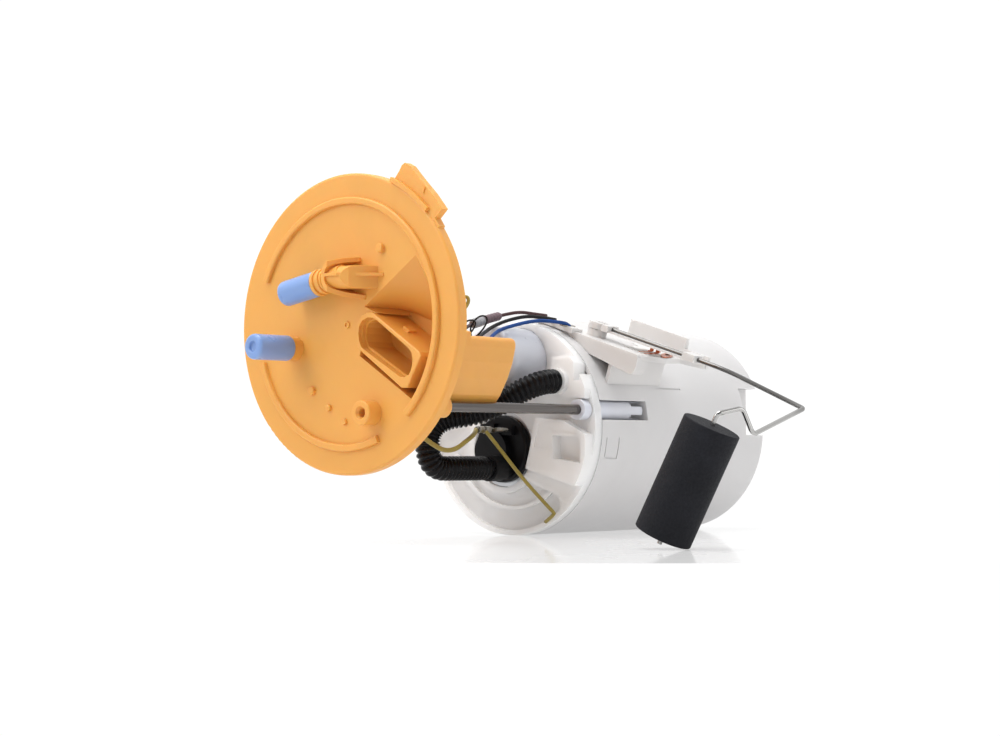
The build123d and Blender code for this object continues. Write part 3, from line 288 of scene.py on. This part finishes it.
# corrugated hose
m = Mat("hose_black", 0.30, spec=0.16)
m.colour(m.ramp(m.noise(70.0, 4.0), [(0.3, (0.0025, 0.0025, 0.003)), (0.6, (0.005, 0.005, 0.006)), (0.8, (0.010, 0.010, 0.012))]))
m.rough(m.range(m.noise(300.0, 3.0), 0.22, 0.36))
m.bump(m.noise(1600.0, 3.0), 0.16, 0.00008)
M["hose"] = m.m

# woven strainer mesh; the colour follows the weave and is darker between the threads, painted shade in the gaps
m = Mat("strainer_mesh", 0.7)
wx = m.wave(330.0, "X")
wy = m.wave(330.0, "Y")
mx = m.math("MAXIMUM", wx, wy)
m.colour(m.ramp(mx, [(0.35, (0.25, 0.24, 0.22)), (0.8, (0.74, 0.73, 0.70))]))
m.bump(mx, 0.6, 0.0002)
M["mesh"] = m.m

# pleated filter media; the colour follows the pleat wave and is darker in the folds, painted shade in the pleats
m = Mat("filter_media", 0.85)
wv = m.wave(120.0, "X", dist=1.0, detail=2.0)
m.colour(m.ramp(wv, [(0.2, (0.52, 0.46, 0.32)), (0.8, (0.72, 0.66, 0.50))]))
m.bump(wv, 0.6, 0.0005)
M["media"] = m.m

# thick-film card and its tracks
m = Mat("ceramic_card", 0.45)
m.colour(m.ramp(m.noise(150.0, 4.0), [(0.3, (0.70, 0.70, 0.68)), (0.7, (0.80, 0.80, 0.78))]))
m.bump(m.noise(1800.0, 3.0), 0.12, 0.00006)
M["card"] = m.m
M["ferrite"] = moulded("ferrite", (0.05, 0.05, 0.055), 0.6, 0.2, 900.0, 0.3)
M["carbon"] = moulded("carbon", (0.03, 0.03, 0.03), 0.55, 0.2, 900.0, 0.3)

use = {
    "flange_cover": "yellow", "connector_pins": "tin", "straight_pipe_cap": "cap", "angled_pipe_cap": "cap",
    "front_guide_rod": "rod", "rear_guide_rod": "rod", "rod_end_clips": "spring", "preload_spring": "spring",
    "front_guide_bush": "bush", "rear_guide_bush": "bush", "swirl_pot": "white", "reservoir_lid": "white_painted_lighter",
    "filter_housing": "grey", "filter_element": "media", "pressure_regulator": "can", "pump_can": "can",
    "pump_end_cap": "black", "pump_terminals": "tin", "pump_bearings": "tin", "pump_magnets": "ferrite",
    "pump_brushes": "carbon", "pump_armature": "lam", "pump_impeller": "black", "pump_plates": "black",
    "pump_isolator": "blackmatt", "suction_strainer": "mesh", "strainer_collar": "black", "inlet_valve": "valve",
    "jet_pump": "white_painted_lighter", "pump_hose": "hose", "hose_cuff": "blackmatt", "sender_housing": "sender",
    "resistor_card": "card", "resistor_tracks": "copper", "sender_terminals": "tin", "float_arm_wire": "arm",
    "arm_lever": "sender", "wiper_contact": "copper", "float_body": "foam", "brown_lead": "w_brown",
    "black_lead": "w_black", "blue_lead": "w_blue", "pump_lead": "w_olive", "ground_lead": "w_olive",
    "terminal_receptacle": "tin", "splice_sleeve": "sleeve",
}
for name, obj in N.items():
    mat = M[use[name]]
    if not obj.material_slots:
        obj.data.materials.append(mat)
    for s in obj.material_slots:
        s.link = "DATA"
        s.material = mat

# ---------------------------------------------------------------------------
# geometry helpers
# ---------------------------------------------------------------------------


def add_mesh(name, verts, faces, mats, smooth=True, midx=None):
    me = bpy.data.meshes.new(name)
    me.from_pydata([tuple(v) for v in verts], [], faces)
    for mt in (mats if isinstance(mats, (list, tuple)) else [mats]):
        me.materials.append(mt)
    if midx:
        for p, i in zip(me.polygons, midx):
            p.material_index = i
    if smooth:
        me.polygons.foreach_set("use_smooth", [True] * len(me.polygons))
    me.update()
    ob = bpy.data.objects.new(name, me)
    bpy.context.scene.collection.objects.link(ob)
    return ob


def spline_points(pts_mm, res=16):
    """The line of a NURBS curve through a route, read back from Blender."""
    cu = bpy.data.curves.new("route", "CURVE")
    cu.dimensions = "3D"
    cu.resolution_u = res
    sp = cu.splines.new("NURBS")
    sp.points.add(len(pts_mm) - 1)
    for p, q in zip(sp.points, pts_mm):
        p.co = (q[0] * MM, q[1] * MM, q[2] * MM, 1.0)
    sp.order_u = 3
    sp.use_endpoint_u = True
    ob = bpy.data.objects.new("route", cu)
    bpy.context.scene.collection.objects.link(ob)
    bpy.context.view_layer.update()
    me = bpy.data.meshes.new_from_object(ob)
    out = [v.co.copy() for v in me.vertices]
    bpy.data.objects.remove(ob)
    bpy.data.meshes.remove(me)
    bpy.data.curves.remove(cu)
    return out


def resample(line, step):
    acc = [0.0]
    for a, b in zip(line, line[1:]):
        acc.append(acc[-1] + (b - a).length)
    n = max(2, int(round(acc[-1] / step)))
    out, j = [], 0
    for i in range(n + 1):
        s = acc[-1] * i / n
        while j < len(acc) - 2 and acc[j + 1] < s:
            j += 1
        seg = acc[j + 1] - acc[j]
        f = 0.0 if seg < 1e-12 else (s - acc[j]) / seg
        out.append(line[j].lerp(line[j + 1], min(1.0, max(0.0, f))))
    return out, acc[-1]


def frames(line):
    """Rotation-minimising frames along a line."""
    tans = []
    for i in range(len(line)):
        a = line[max(0, i - 1)]
        b = line[min(len(line) - 1, i + 1)]
        tans.append((b - a).normalized())
    ref = Vector((0, 0, 1)) if abs(tans[0].z) < 0.9 else Vector((0, 1, 0))
    u = tans[0].cross(ref).normalized()
    res = []
    for i, t in enumerate(tans):
        if i:
            q = tans[i - 1].rotation_difference(t)
            u = (q @ u)
            u = (u - t * u.dot(t)).normalized()
        res.append((t, u, t.cross(u).normalized()))
    return res


def tube(name, line, radius, mat, sides=20, caps=True, s_scale=1.0):
    """Round tube along a line; radius is a number in metres or a function of the distance along it."""
    fr = frames(line)
    verts, faces, s = [], [], 0.0
    for i, (p, (t, u, v)) in enumerate(zip(line, fr)):
        if i:
            s += (p - line[i - 1]).length
        r = radius(s) if callable(radius) else radius
        for k in range(sides):
            a = 2 * math.pi * k / sides
            verts.append(p + u * (r * math.cos(a)) + v * (r * math.sin(a)))
    for i in range(len(line) - 1):
        for k in range(sides):
            a = i * sides + k
            b = i * sides + (k + 1) % sides
            faces.append((a, b, b + sides, a + sides))
    if caps:
        faces.append(tuple(reversed(range(sides))))
        faces.append(tuple(range((len(line) - 1) * sides, len(line) * sides)))
    ob = add_mesh(name, verts, faces, mat)
    if caps:
        ob.data.polygons[len(faces) - 1].use_smooth = False
        ob.data.polygons[len(faces) - 2].use_smooth = False
    return ob


def lathe(name, profile, origin, axis, mat, sides=48, closed=False):
    """profile: (distance along the axis, radius) in mm, turned about axis at origin (mm)."""
    a = Vector(axis).normalized()
    ref = Vector((0, 0, 1)) if abs(a.z) < 0.9 else Vector((0, 1, 0))
    u = a.cross(ref).normalized()
    v = a.cross(u)
    o = Vector(origin)
    verts, faces = [], []
    for (s, r) in profile:
        for k in range(sides):
            t = 2 * math.pi * k / sides
            verts.append((o + a * s + u * (r * math.cos(t)) + v * (r * math.sin(t))) * MM)
    n = len(profile)
    for i in range(n if closed else n - 1):
        for k in range(sides):
            p0 = i * sides + k
            p1 = i * sides + (k + 1) % sides
            j = (i + 1) % n
            q0 = j * sides + k
            q1 = j * sides + (k + 1) % sides
            faces.append((p0, p1, q1, q0))
    ob = add_mesh(name, verts, faces, mat)
    return ob


def bevel(ob, width, segments=3, angle=35):
    md = ob.modifiers.new("bevel", "BEVEL")
    md.width = width * MM
    md.segments = segments
    md.limit_method = "ANGLE"
    md.angle_limit = math.radians(angle)
    md.harden_normals = False
    bpy.context.view_layer.update()
    dg = bpy.context.evaluated_depsgraph_get()
    me = bpy.data.meshes.new_from_object(ob.evaluated_get(dg))
    ob.modifiers.clear()
    ob.data = me
    return ob


def plate(name, outline, h0, h1, to_world, mat, bev=0.3):
    """A flat outline (mm, in its own plane) raised from h0 to h1 and carried into place by to_world."""
    n = len(outline)
    verts = [to_world(p[0], p[1], h0) for p in outline] + [to_world(p[0], p[1], h1) for p in outline]
    faces = [tuple(range(n)), tuple(range(2 * n - 1, n - 1, -1))]
    for i in range(n):
        j = (i + 1) % n
        faces.append((i, i + n, j + n, j))
    ob = add_mesh(name, verts, faces, mat, smooth=False)
    bm = bmesh.new()
    bm.from_mesh(ob.data)
    bmesh.ops.recalc_face_normals(bm, faces=bm.faces)
    bm.to_mesh(ob.data)
    bm.free()
    if bev:
        bevel(ob, bev)
    return ob


# sender frame
A18 = math.radians(18.0)


def snd(x, t, n):
    return Vector((x * MM, (-t * math.cos(A18) - n * math.sin(A18)) * MM, (-47.2 - t * math.sin(A18) + n * math.cos(A18)) * MM))


# ---------------------------------------------------------------------------
# transport caps: blind tubes with a rolled end and a dimple
# ---------------------------------------------------------------------------
CAP_PROFILE = [(18.4, 0.0), (18.4, 4.3), (18.1, 4.65), (0.4, 4.65), (0.1, 4.8), (0.0, 5.1), (0.0, 5.6), (0.1, 5.85), (0.35, 5.98), (0.7, 6.0), (4.0, 5.98), (9.0, 6.0), (14.0, 5.98), (20.2, 6.0),
               (20.9, 5.92), (21.4, 5.68), (21.75, 5.3), (21.95, 4.8), (22.0, 4.2), (22.0, 3.1), (21.93, 2.75), (21.7, 2.5), (21.2, 2.4), (20.8, 2.25), (20.6, 1.9), (20.6, 0.0)]
AX = Vector((0.0, 0.985, -0.174)).normalized()
for nm, org, ax, node, body in (
    ("cap_straight", (-10.6, 33.2, -10.3), (-1.0, 0.0, 0.0), "straight_pipe_cap", "straight_cap"),
    ("cap_angled", tuple(Vector((-14.0, -4.49, 21.12)) + AX * 13.9), tuple(AX), "angled_pipe_cap", "angled_cap"),
):
    ob = lathe(nm, CAP_PROFILE, org, ax, M["cap"], 72)
    bm = bmesh.new()
    bm.from_mesh(ob.data)
    bmesh.ops.remove_doubles(bm, verts=bm.verts, dist=1e-6)
    bmesh.ops.recalc_face_normals(bm, faces=bm.faces)
    bm.to_mesh(ob.data)
    bm.free()
    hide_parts(node)
    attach(ob, body)

# ---------------------------------------------------------------------------
# corrugated hose
# ---------------------------------------------------------------------------
PORT = (-33.8, -24.4)
OUTLET = (2.5, -67.2)
HOSE = [(106.5, PORT[0], PORT[1]), (93.0, PORT[0], PORT[1]), (81.0, -13.0, -39.6), (57.5, 5.8, -43.4), (57.5, 5.8, -67.2), (78.5, OUTLET[0], OUTLET[1]), (98.3, OUTLET[0], OUTLET[1])]
PITCH = 2.35
line, hose_len = resample(spline_points(HOSE, 40), 0.00029)


def hose_r(s):
    s = s / MM
    left = hose_len / MM - s
    if left < 3.0:
        return 5.35 * MM
    ph = (s / PITCH) % 1.0
    w = 0.5 - 0.5 * math.cos(2 * math.pi * ph)
    w = w ** 0.45
    return (4.85 + 1.25 * w) * MM


hose = tube("hose_corrugated", line, hose_r, M["hose"], sides=40)
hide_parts("pump_hose")
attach(hose, "reservoir")

# ---------------------------------------------------------------------------
# leads
# ---------------------------------------------------------------------------


def dn(d, n):
    return (-0.76 * d - 0.65 * n, -0.65 * d + 0.76 * n)


PIN_D = [15.5, 23.8, 32.0, 40.2]
tails = [dn(d, 10.9) for d in PIN_D]


def tip(x, t, n):
    v = snd(x, t, n) / MM
    return (v.x, v.y, v.z)


tt = {"brown": tip(120.2, -7.0, 57.2), "black": tip(120.2, 1.0, 57.2), "blue": tip(120.2, 9.0, 57.2)}
BROWN = [(55.3, *tails[0]), (64.0, -12.6, 1.6), (86.0, -8.0, 6.4), (98.0, -8.6, 9.2), (109.5, -9.2, 11.2), tip(119.0, -7.0, 58.3), tip(128.0, -7.0, 58.0)]
BLACK = [(55.3, *tails[1]), (63.0, -21.6, -4.0), (73.0, -16.6, -1.6), (84.0, -13.2, 2.6), (96.5, -13.0, 6.4), (109.0, -14.6, 8.9), tip(118.5, 1.0, 58.4), tip(126.0, 1.0, 58.0)]
BLUE = [(55.3, *tails[2]), (63.0, -28.4, -9.0), (72.0, -21.0, -4.6), (83.5, -17.4, 0.6), (96.5, -17.6, 3.8), (109.5, -20.6, 6.6), tip(120.0, 9.0, 58.6), tip(125.6, 9.2, 58.2), tip(127.4, 9.8, 57.0)]
OLIVE = [(55.9, *tails[3]), (59.5, -33.0, -20.6), (56.0, -22.0, -22.0), (52.6, -10.0, -27.0), (44.0, -2.0, -36.0), (38.6, 0.2, -43.6), (41.4, -4.6, -51.2), (46.5, -7.8, -55.6), (51.5, -10.8, -58.6), (60.0, -10.5, -57.8), (70.0, -8.1, -53.9), (79.0, -6.0, -50.3), (86.3, -0.2, -48.2)]
GROUND = [(91.0, -2.7, -48.8), (94.6, -8.2, -57.0), (100.0, -18.5, -71.9), (106.2, -28.8, -85.0), (108.6, -31.8, -89.0), (108.8, -31.9, -89.4), (110.0, -29.0, -91.2), (112.2, -23.6, -93.8)]

for nm, pts, r, mt, node, sl in (
    ("lead_brown", BROWN, 0.86, "w_brown", "brown_lead", "wire_brown"),
    ("lead_black", BLACK, 0.90, "w_black", "black_lead", "wire_black"),
    ("lead_blue", BLUE, 0.92, "w_blue", "blue_lead", "wire_blue"),
    ("lead_pump", OLIVE, 1.15, "w_olive", "pump_lead", "wire_olive"),
):
    ln, _ = resample(spline_points(pts, 24), 0.0012)
    ob = tube(nm, ln, r * MM, M[mt], 18)
    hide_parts(node)
    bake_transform(ob)
ln, _ = resample(spline_points(GROUND, 24), 0.001)
ob = tube("lead_ground", ln, 0.92 * MM, M["w_olive"], 18)
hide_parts("ground_lead")
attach(ob, "reservoir")

# clear wrap over the splice, a shrunk sleeve past it, two thin ties and a loop of spare lead
ln, _ = resample(spline_points(BROWN, 24), 0.0006)


def shrunk(name, x0, x1, r0, r1, mat):
    seg = [p for p in ln if x0 * MM <= p.x <= x1 * MM]
    total = sum((b - a).length for a, b in zip(seg, seg[1:])) / MM

    def rad(s):
        s = s / MM
        e = min(s, total - s)
        return (r0 + (r1 - r0) * min(1.0, max(0.0, e / 2.0)) ** 0.6 + 0.10 * math.sin(s * 2.7)) * MM

    return tube(name, seg, rad, mat, 24)


ob = shrunk("splice_wrap", 70.5, 82.2, 1.5, 2.4, M["wrap"])
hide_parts("splice_sleeve")
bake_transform(ob)
ob = shrunk("splice_shrink", 81.8, 95.5, 1.35, 2.15, M["sleeve"])
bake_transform(ob)


def loop_tube(name, pts, r, mat, closed=True):
    p = list(pts)
    if closed:
        p = p + [p[0]]
    lp_, _ = resample(spline_points(p, 24), 0.0006)
    ob = tube(name, lp_, r * MM, mat, 14)
    return ob


ob = loop_tube("tie_front", [(65.0, -16.4, -4.6), (64.4, -15.2, -0.4), (64.6, -17.4, 3.8), (66.0, -20.4, 6.6), (67.0, -23.6, 6.4), (67.0, -24.6, 4.0), (66.0, -23.0, 0.4), (65.2, -19.6, -3.0)], 0.42, M["w_black"])
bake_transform(ob)
ob = loop_tube("tie_rear", [(58.5, -16.0, -3.6), (58.0, -14.6, 0.2), (59.0, -16.6, 3.2), (60.4, -20.0, 4.6), (61.2, -22.6, 3.0), (60.4, -21.0, -0.6), (59.4, -18.4, -3.4)], 0.42, M["w_black"])
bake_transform(ob)
ob = loop_tube("spare_lead_loop", [(26.0, -26.0, -1.0), (31.0, -29.6, 6.0), (37.0, -33.6, 12.6), (39.4, -35.4, 13.9), (39.4, -36.9, 12.0), (38.4, -36.6, 9.4), (36.0, -34.4, 5.0), (31.0, -31.0, 0.0), (26.0, -27.4, -3.6)], 0.85, M["w_olive"], closed=False)
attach(ob, "flange")

# copper contact on the sender card, an oval whose opening is a shallow recess with a black floor: painted shade
# standing in for the depth of the hole
cv, cf, ci = [], [], []
NS = 40
ca, sa = 0.905, -0.425
for lvl, (ra, rb) in enumerate(((9.4, 2.5), (9.4, 2.5), (3.2, 1.15), (3.2, 1.15))):
    nn = 55.52 if lvl in (0, 3) else 55.95
    for k in range(NS):
        t_ = 2 * math.pi * k / NS
        e_, f_ = ra * math.cos(t_) + (1.6 if lvl >= 2 else 0.0), rb * math.sin(t_)
        cv.append(snd(152.0 + e_ * ca - f_ * sa, 54.6 + e_ * sa + f_ * ca, nn))
for lvl in range(3):
    for k in range(NS):
        j = (k + 1) % NS
        cf.append((lvl * NS + k, lvl * NS + j, (lvl + 1) * NS + j, (lvl + 1) * NS + k))
        ci.append(0)
# the recess floor takes the black material: painted shade for the hole
cf.append(tuple(3 * NS + k for k in range(NS)))
ci.append(1)
ob = add_mesh("sender_contact", cv, cf, [M["copper"], M["black"]], smooth=False, midx=ci)
bm = bmesh.new()
bm.from_mesh(ob.data)
bmesh.ops.recalc_face_normals(bm, faces=bm.faces)
bm.to_mesh(ob.data)
bm.free()
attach(ob, "reservoir")

# ---------------------------------------------------------------------------
# crimped receptacle on the pump's terminal
# ---------------------------------------------------------------------------


def sheet_strip(name, section, x0, x1, cy, cz, mat, th=0.4):
    """Sheet-metal channel: open section in (y, z), given thickness, run along X."""
    n = len(section)
    nor = []
    for i in range(n):
        a = Vector(section[max(0, i - 1)])
        b = Vector(section[min(n - 1, i + 1)])
        d = (b - a).normalized()
        nor.append(Vector((-d.y, d.x)))
    outl = [Vector(section[i]) + nor[i] * th / 2 for i in range(n)] + [Vector(section[i]) - nor[i] * th / 2 for i in range(n - 1, -1, -1)]
    m2 = len(outl)
    xs = [x0, x1]
    verts = [Vector((x, cy + p.x, cz + p.y)) * MM for x in xs for p in outl]
    faces = [(i, (i + 1) % m2, m2 + (i + 1) % m2, m2 + i) for i in range(m2)]
    for i in range(n - 1):
        faces.append((i, m2 - 1 - i, m2 - 2 - i, i + 1))
        faces.append((m2 + i, m2 + i + 1, m2 + m2 - 2 - i, m2 + m2 - 1 - i))
    ob = add_mesh(name, verts, faces, mat, smooth=False)
    bm = bmesh.new()
    bm.from_mesh(ob.data)
    bmesh.ops.recalc_face_normals(bm, faces=bm.faces)
    bm.to_mesh(ob.data)
    bm.free()
    return ob


def curl(cy, sgn, r=1.0, steps=8):
    return [(cy + sgn * r * math.sin(math.radians(a)), -1.1 + r - r * math.cos(math.radians(a))) for a in range(0, 250, 250 // steps)]


left = [(-y, z) for y, z in curl(2.7, 1)]
sec = list(reversed(left)) + [(-1.2, -1.1), (1.2, -1.1)] + curl(2.7, 1)
r1 = sheet_strip("receptacle_grip", sec, 98.2, 106.8, 0.0, -48.0, M["tin"])
u_sec = [(-1.7, 1.9), (-2.1, 0.9), (-1.9, -0.6), (-1.2, -1.5), (0, -1.8), (1.2, -1.5), (1.9, -0.6), (2.1, 0.9), (1.7, 1.9)]
b_sec = [(-0.25, 0.6), (-0.7, 1.75), (-1.6, 1.5), (-1.9, 0.2), (-1.5, -1.2), (0, -1.75), (1.5, -1.2), (1.9, 0.2), (1.6, 1.5), (0.7, 1.75), (0.25, 0.6)]
r2 = sheet_strip("receptacle_crimp", b_sec, 92.6, 96.2, 0.0, -48.2, M["tin"])
r3 = sheet_strip("receptacle_collar", [(y * 0.95, z * 0.95) for y, z in b_sec], 88.0, 91.4, 0.0, -48.2, M["tin"])
r4 = sheet_strip("receptacle_neck", [(-1.5, -1.3), (-0.8, -1.6), (0.8, -1.6), (1.5, -1.3)], 91.2, 98.6, 0.0, -48.1, M["tin"])
for i, ob in enumerate((r1, r2, r3, r4)):
    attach(ob, "reservoir")
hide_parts("terminal_receptacle")

# ---------------------------------------------------------------------------
# strainer: a heat-sealed pillow of woven mesh
# ---------------------------------------------------------------------------
lo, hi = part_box("suction_strainer")
cx, cy, cz = (lo + hi) / 2
hx, hy, hz = (hi - lo) / 2
verts, faces = [], []
G = 40
for side in (1, -1):
    for i in range(G + 1):
        for j in range(G + 1):
            a = -1 + 2 * i / G
            b = -1 + 2 * j / G
            q = (abs(a) ** 5 + abs(b) ** 5) ** 0.2
            sc = max(abs(a), abs(b)) / q if q > 1e-6 else 1.0
            a2, b2 = a * sc, b * sc
            e = max(0.0, 1 - max(abs(a), abs(b)) ** 2.2)
            puff = min(1.0, e * 1.9) ** 0.55
            rib = 0.86 + 0.14 * math.cos(b2 * math.pi * 3)
            rim = 0.06
            z = side * hz * (rim + (0.97 - rim) * puff * rib)
            verts.append((cx + hx * a2, cy + hy * b2, cz + z))
W = G + 1
for s in range(2):
    o = s * W * W
    for i in range(G):
        for j in range(G):
            f = (o + i * W + j, o + (i + 1) * W + j, o + (i + 1) * W + j + 1, o + i * W + j + 1)
            faces.append(f if s == 0 else tuple(reversed(f)))
ring = [(0, j) for j in range(G)] + [(i, G) for i in range(G)] + [(G, j) for j in range(G, 0, -1)] + [(i, 0) for i in range(G, 0, -1)]
for k in range(len(ring)):
    a, b = ring[k], ring[(k + 1) % len(ring)]
    ia, ib = a[0] * W + a[1], b[0] * W + b[1]
    faces.append((ia, ib, ib + W * W, ia + W * W))
ob = add_mesh("strainer_sock", verts, faces, M["mesh"])
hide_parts("suction_strainer")
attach(ob, "reservoir")

# ---------------------------------------------------------------------------
# preload spring: the same coil, rebuilt as a tube of round wire
# ---------------------------------------------------------------------------
turns, x0, x1, rm = 16.0, 18.4, 106.2, 4.3
pts = []
n = int(turns * 36)
for i in range(n + 1):
    a = 2 * math.pi * turns * i / n
    pts.append(Vector(((x0 + 0.6 + (x1 - x0 - 1.2) * i / n), 47.0 + rm * math.cos(a), -38.4 + rm * math.sin(a))) * MM)
ob = tube("spring_coil", pts, 0.6 * MM, M["spring"], 12)
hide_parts("preload_spring")
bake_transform(ob)

# ---------------------------------------------------------------------------
# studio
# ---------------------------------------------------------------------------
PH = math.radians(40.4674)
w = Vector((math.cos(PH), math.sin(PH), 0))
u = Vector((math.sin(PH), -math.cos(PH), 0))

# pale floor: a glossy sheet under the module with a curved front edge, plain white beyond it. The sheet also glows:
# about 38% white emission is mixed in under the module, painted light lifting the module's shadows on it
m = Mat("studio_floor", 0.10, spec=0.5)
m.colour(m.ramp(m.noise(3.0, 3.0), [(0.3, (0.86, 0.86, 0.865)), (0.7, (0.90, 0.90, 0.90))]))
m.rough(m.range(m.noise(9.0, 3.0), 0.05, 0.09))
ft = m.t
out = ft.nodes["Material Output"]


def vdot(vec):
    n = ft.nodes.new("ShaderNodeVectorMath")
    n.operation = "DOT_PRODUCT"
    n.inputs[1].default_value = tuple(vec)
    ft.links.new(m.tc.outputs["Object"], n.inputs[0])
    return n.outputs["Value"]


FO = Vector((0.1, -0.05, FLOOR_Z))
dw, du = vdot(w), vdot(u)
lat = m.math("DIVIDE", m.math("SUBTRACT", du, 0.121 - FO.dot(u)), 0.09)
bow = m.math("MULTIPLY", m.math("MULTIPLY", lat, lat), 0.0085)
edge = m.math("SUBTRACT", m.math("SUBTRACT", dw, bow), -0.1718 - FO.dot(w))
front = m.range(edge, 0.0, 1.0, 0.0, 0.0006)
far = m.range(dw, 1.0, 0.0, 0.16, 0.42)
side = m.range(m.math("ABSOLUTE", du), 1.0, 0.0, 0.14, 0.36)
mask = m.math("MULTIPLY", m.math("MULTIPLY", front, far), side)
mask = m.math("MULTIPLY", mask, 0.62)
# painted light: the floor's white emission, full beyond the sheet and partly under the module
em = ft.nodes.new("ShaderNodeEmission")
em.inputs["Color"].default_value = (1, 1, 1, 1)
em.inputs["Strength"].default_value = 1.02
mixs = ft.nodes.new("ShaderNodeMixShader")
ft.links.new(mask, mixs.inputs[0])
ft.links.new(em.outputs[0], mixs.inputs[1])
ft.links.new(m.p.outputs[0], mixs.inputs[2])
ft.links.new(mixs.outputs[0], out.inputs["Surface"])
FLOOR = m.m
bm = bmesh.new()
bmesh.ops.create_grid(bm, x_segments=2, y_segments=2, size=12.0)
me = bpy.data.meshes.new("studio_floor")
bm.to_mesh(me)
bm.free()
floor = bpy.data.objects.new("studio_floor", me)
floor.location = FO
floor.data.materials.append(FLOOR)
bpy.context.scene.collection.objects.link(floor)

world = bpy.data.worlds.new("studio")
bpy.context.scene.world = world
world.use_nodes = True
wt = world.node_tree
wt.nodes.clear()
wo = wt.nodes.new("ShaderNodeOutputWorld")
bg = wt.nodes.new("ShaderNodeBackground")
bg.inputs["Color"].default_value = (1.0, 1.0, 1.0, 1.0)
tc = wt.nodes.new("ShaderNodeTexCoord")
dot = wt.nodes.new("ShaderNodeVectorMath")
dot.operation = "DOT_PRODUCT"
dot.inputs[1].default_value = tuple(w)
wt.links.new(tc.outputs["Generated"], dot.inputs[0])
mr = wt.nodes.new("ShaderNodeMapRange")
mr.interpolation_type = "SMOOTHSTEP"
mr.inputs["From Min"].default_value = -0.70
mr.inputs["From Max"].default_value = 0.40
mr.inputs["To Min"].default_value = 0.16
mr.inputs["To Max"].default_value = 1.0
wt.links.new(dot.outputs["Value"], mr.inputs["Value"])
lp = wt.nodes.new("ShaderNodeLightPath")
mx = wt.nodes.new("ShaderNodeMix")
mx.data_type = "FLOAT"
mx.inputs[3].default_value = 1.05
wt.links.new(lp.outputs["Is Camera Ray"], mx.inputs[0])
wt.links.new(mr.outputs["Result"], mx.inputs[2])
wt.links.new(mx.outputs[0], bg.inputs["Strength"])
wt.links.new(bg.outputs["Background"], wo.inputs["Surface"])


def area(name, loc, target, sx, sy, power, col=(1, 1, 1)):
    li = bpy.data.lights.new(name, "AREA")
    li.shape = "RECTANGLE"
    li.size, li.size_y = sx, sy
    li.energy = power
    li.color = col
    ob = bpy.data.objects.new(name, li)
    ob.location = loc
    d = Vector(target) - Vector(loc)
    ob.rotation_euler = d.to_track_quat("-Z", "Y").to_euler()
    bpy.context.scene.collection.objects.link(ob)
    return ob


mid = (0.10, -0.04, -0.04)
area("key_top", (-0.10, 0.05, 1.05), mid, 0.9, 0.7, 11.0)
area("key_front_left", (-0.75, 0.35, 0.55), mid, 0.5, 0.7, 4.6)
area("fill_right", (0.30, -1.10, 0.25), mid, 0.6, 0.8, 2.4)
area("fill_front", (-0.85, -0.80, 0.05), mid, 0.7, 0.6, 1.7)
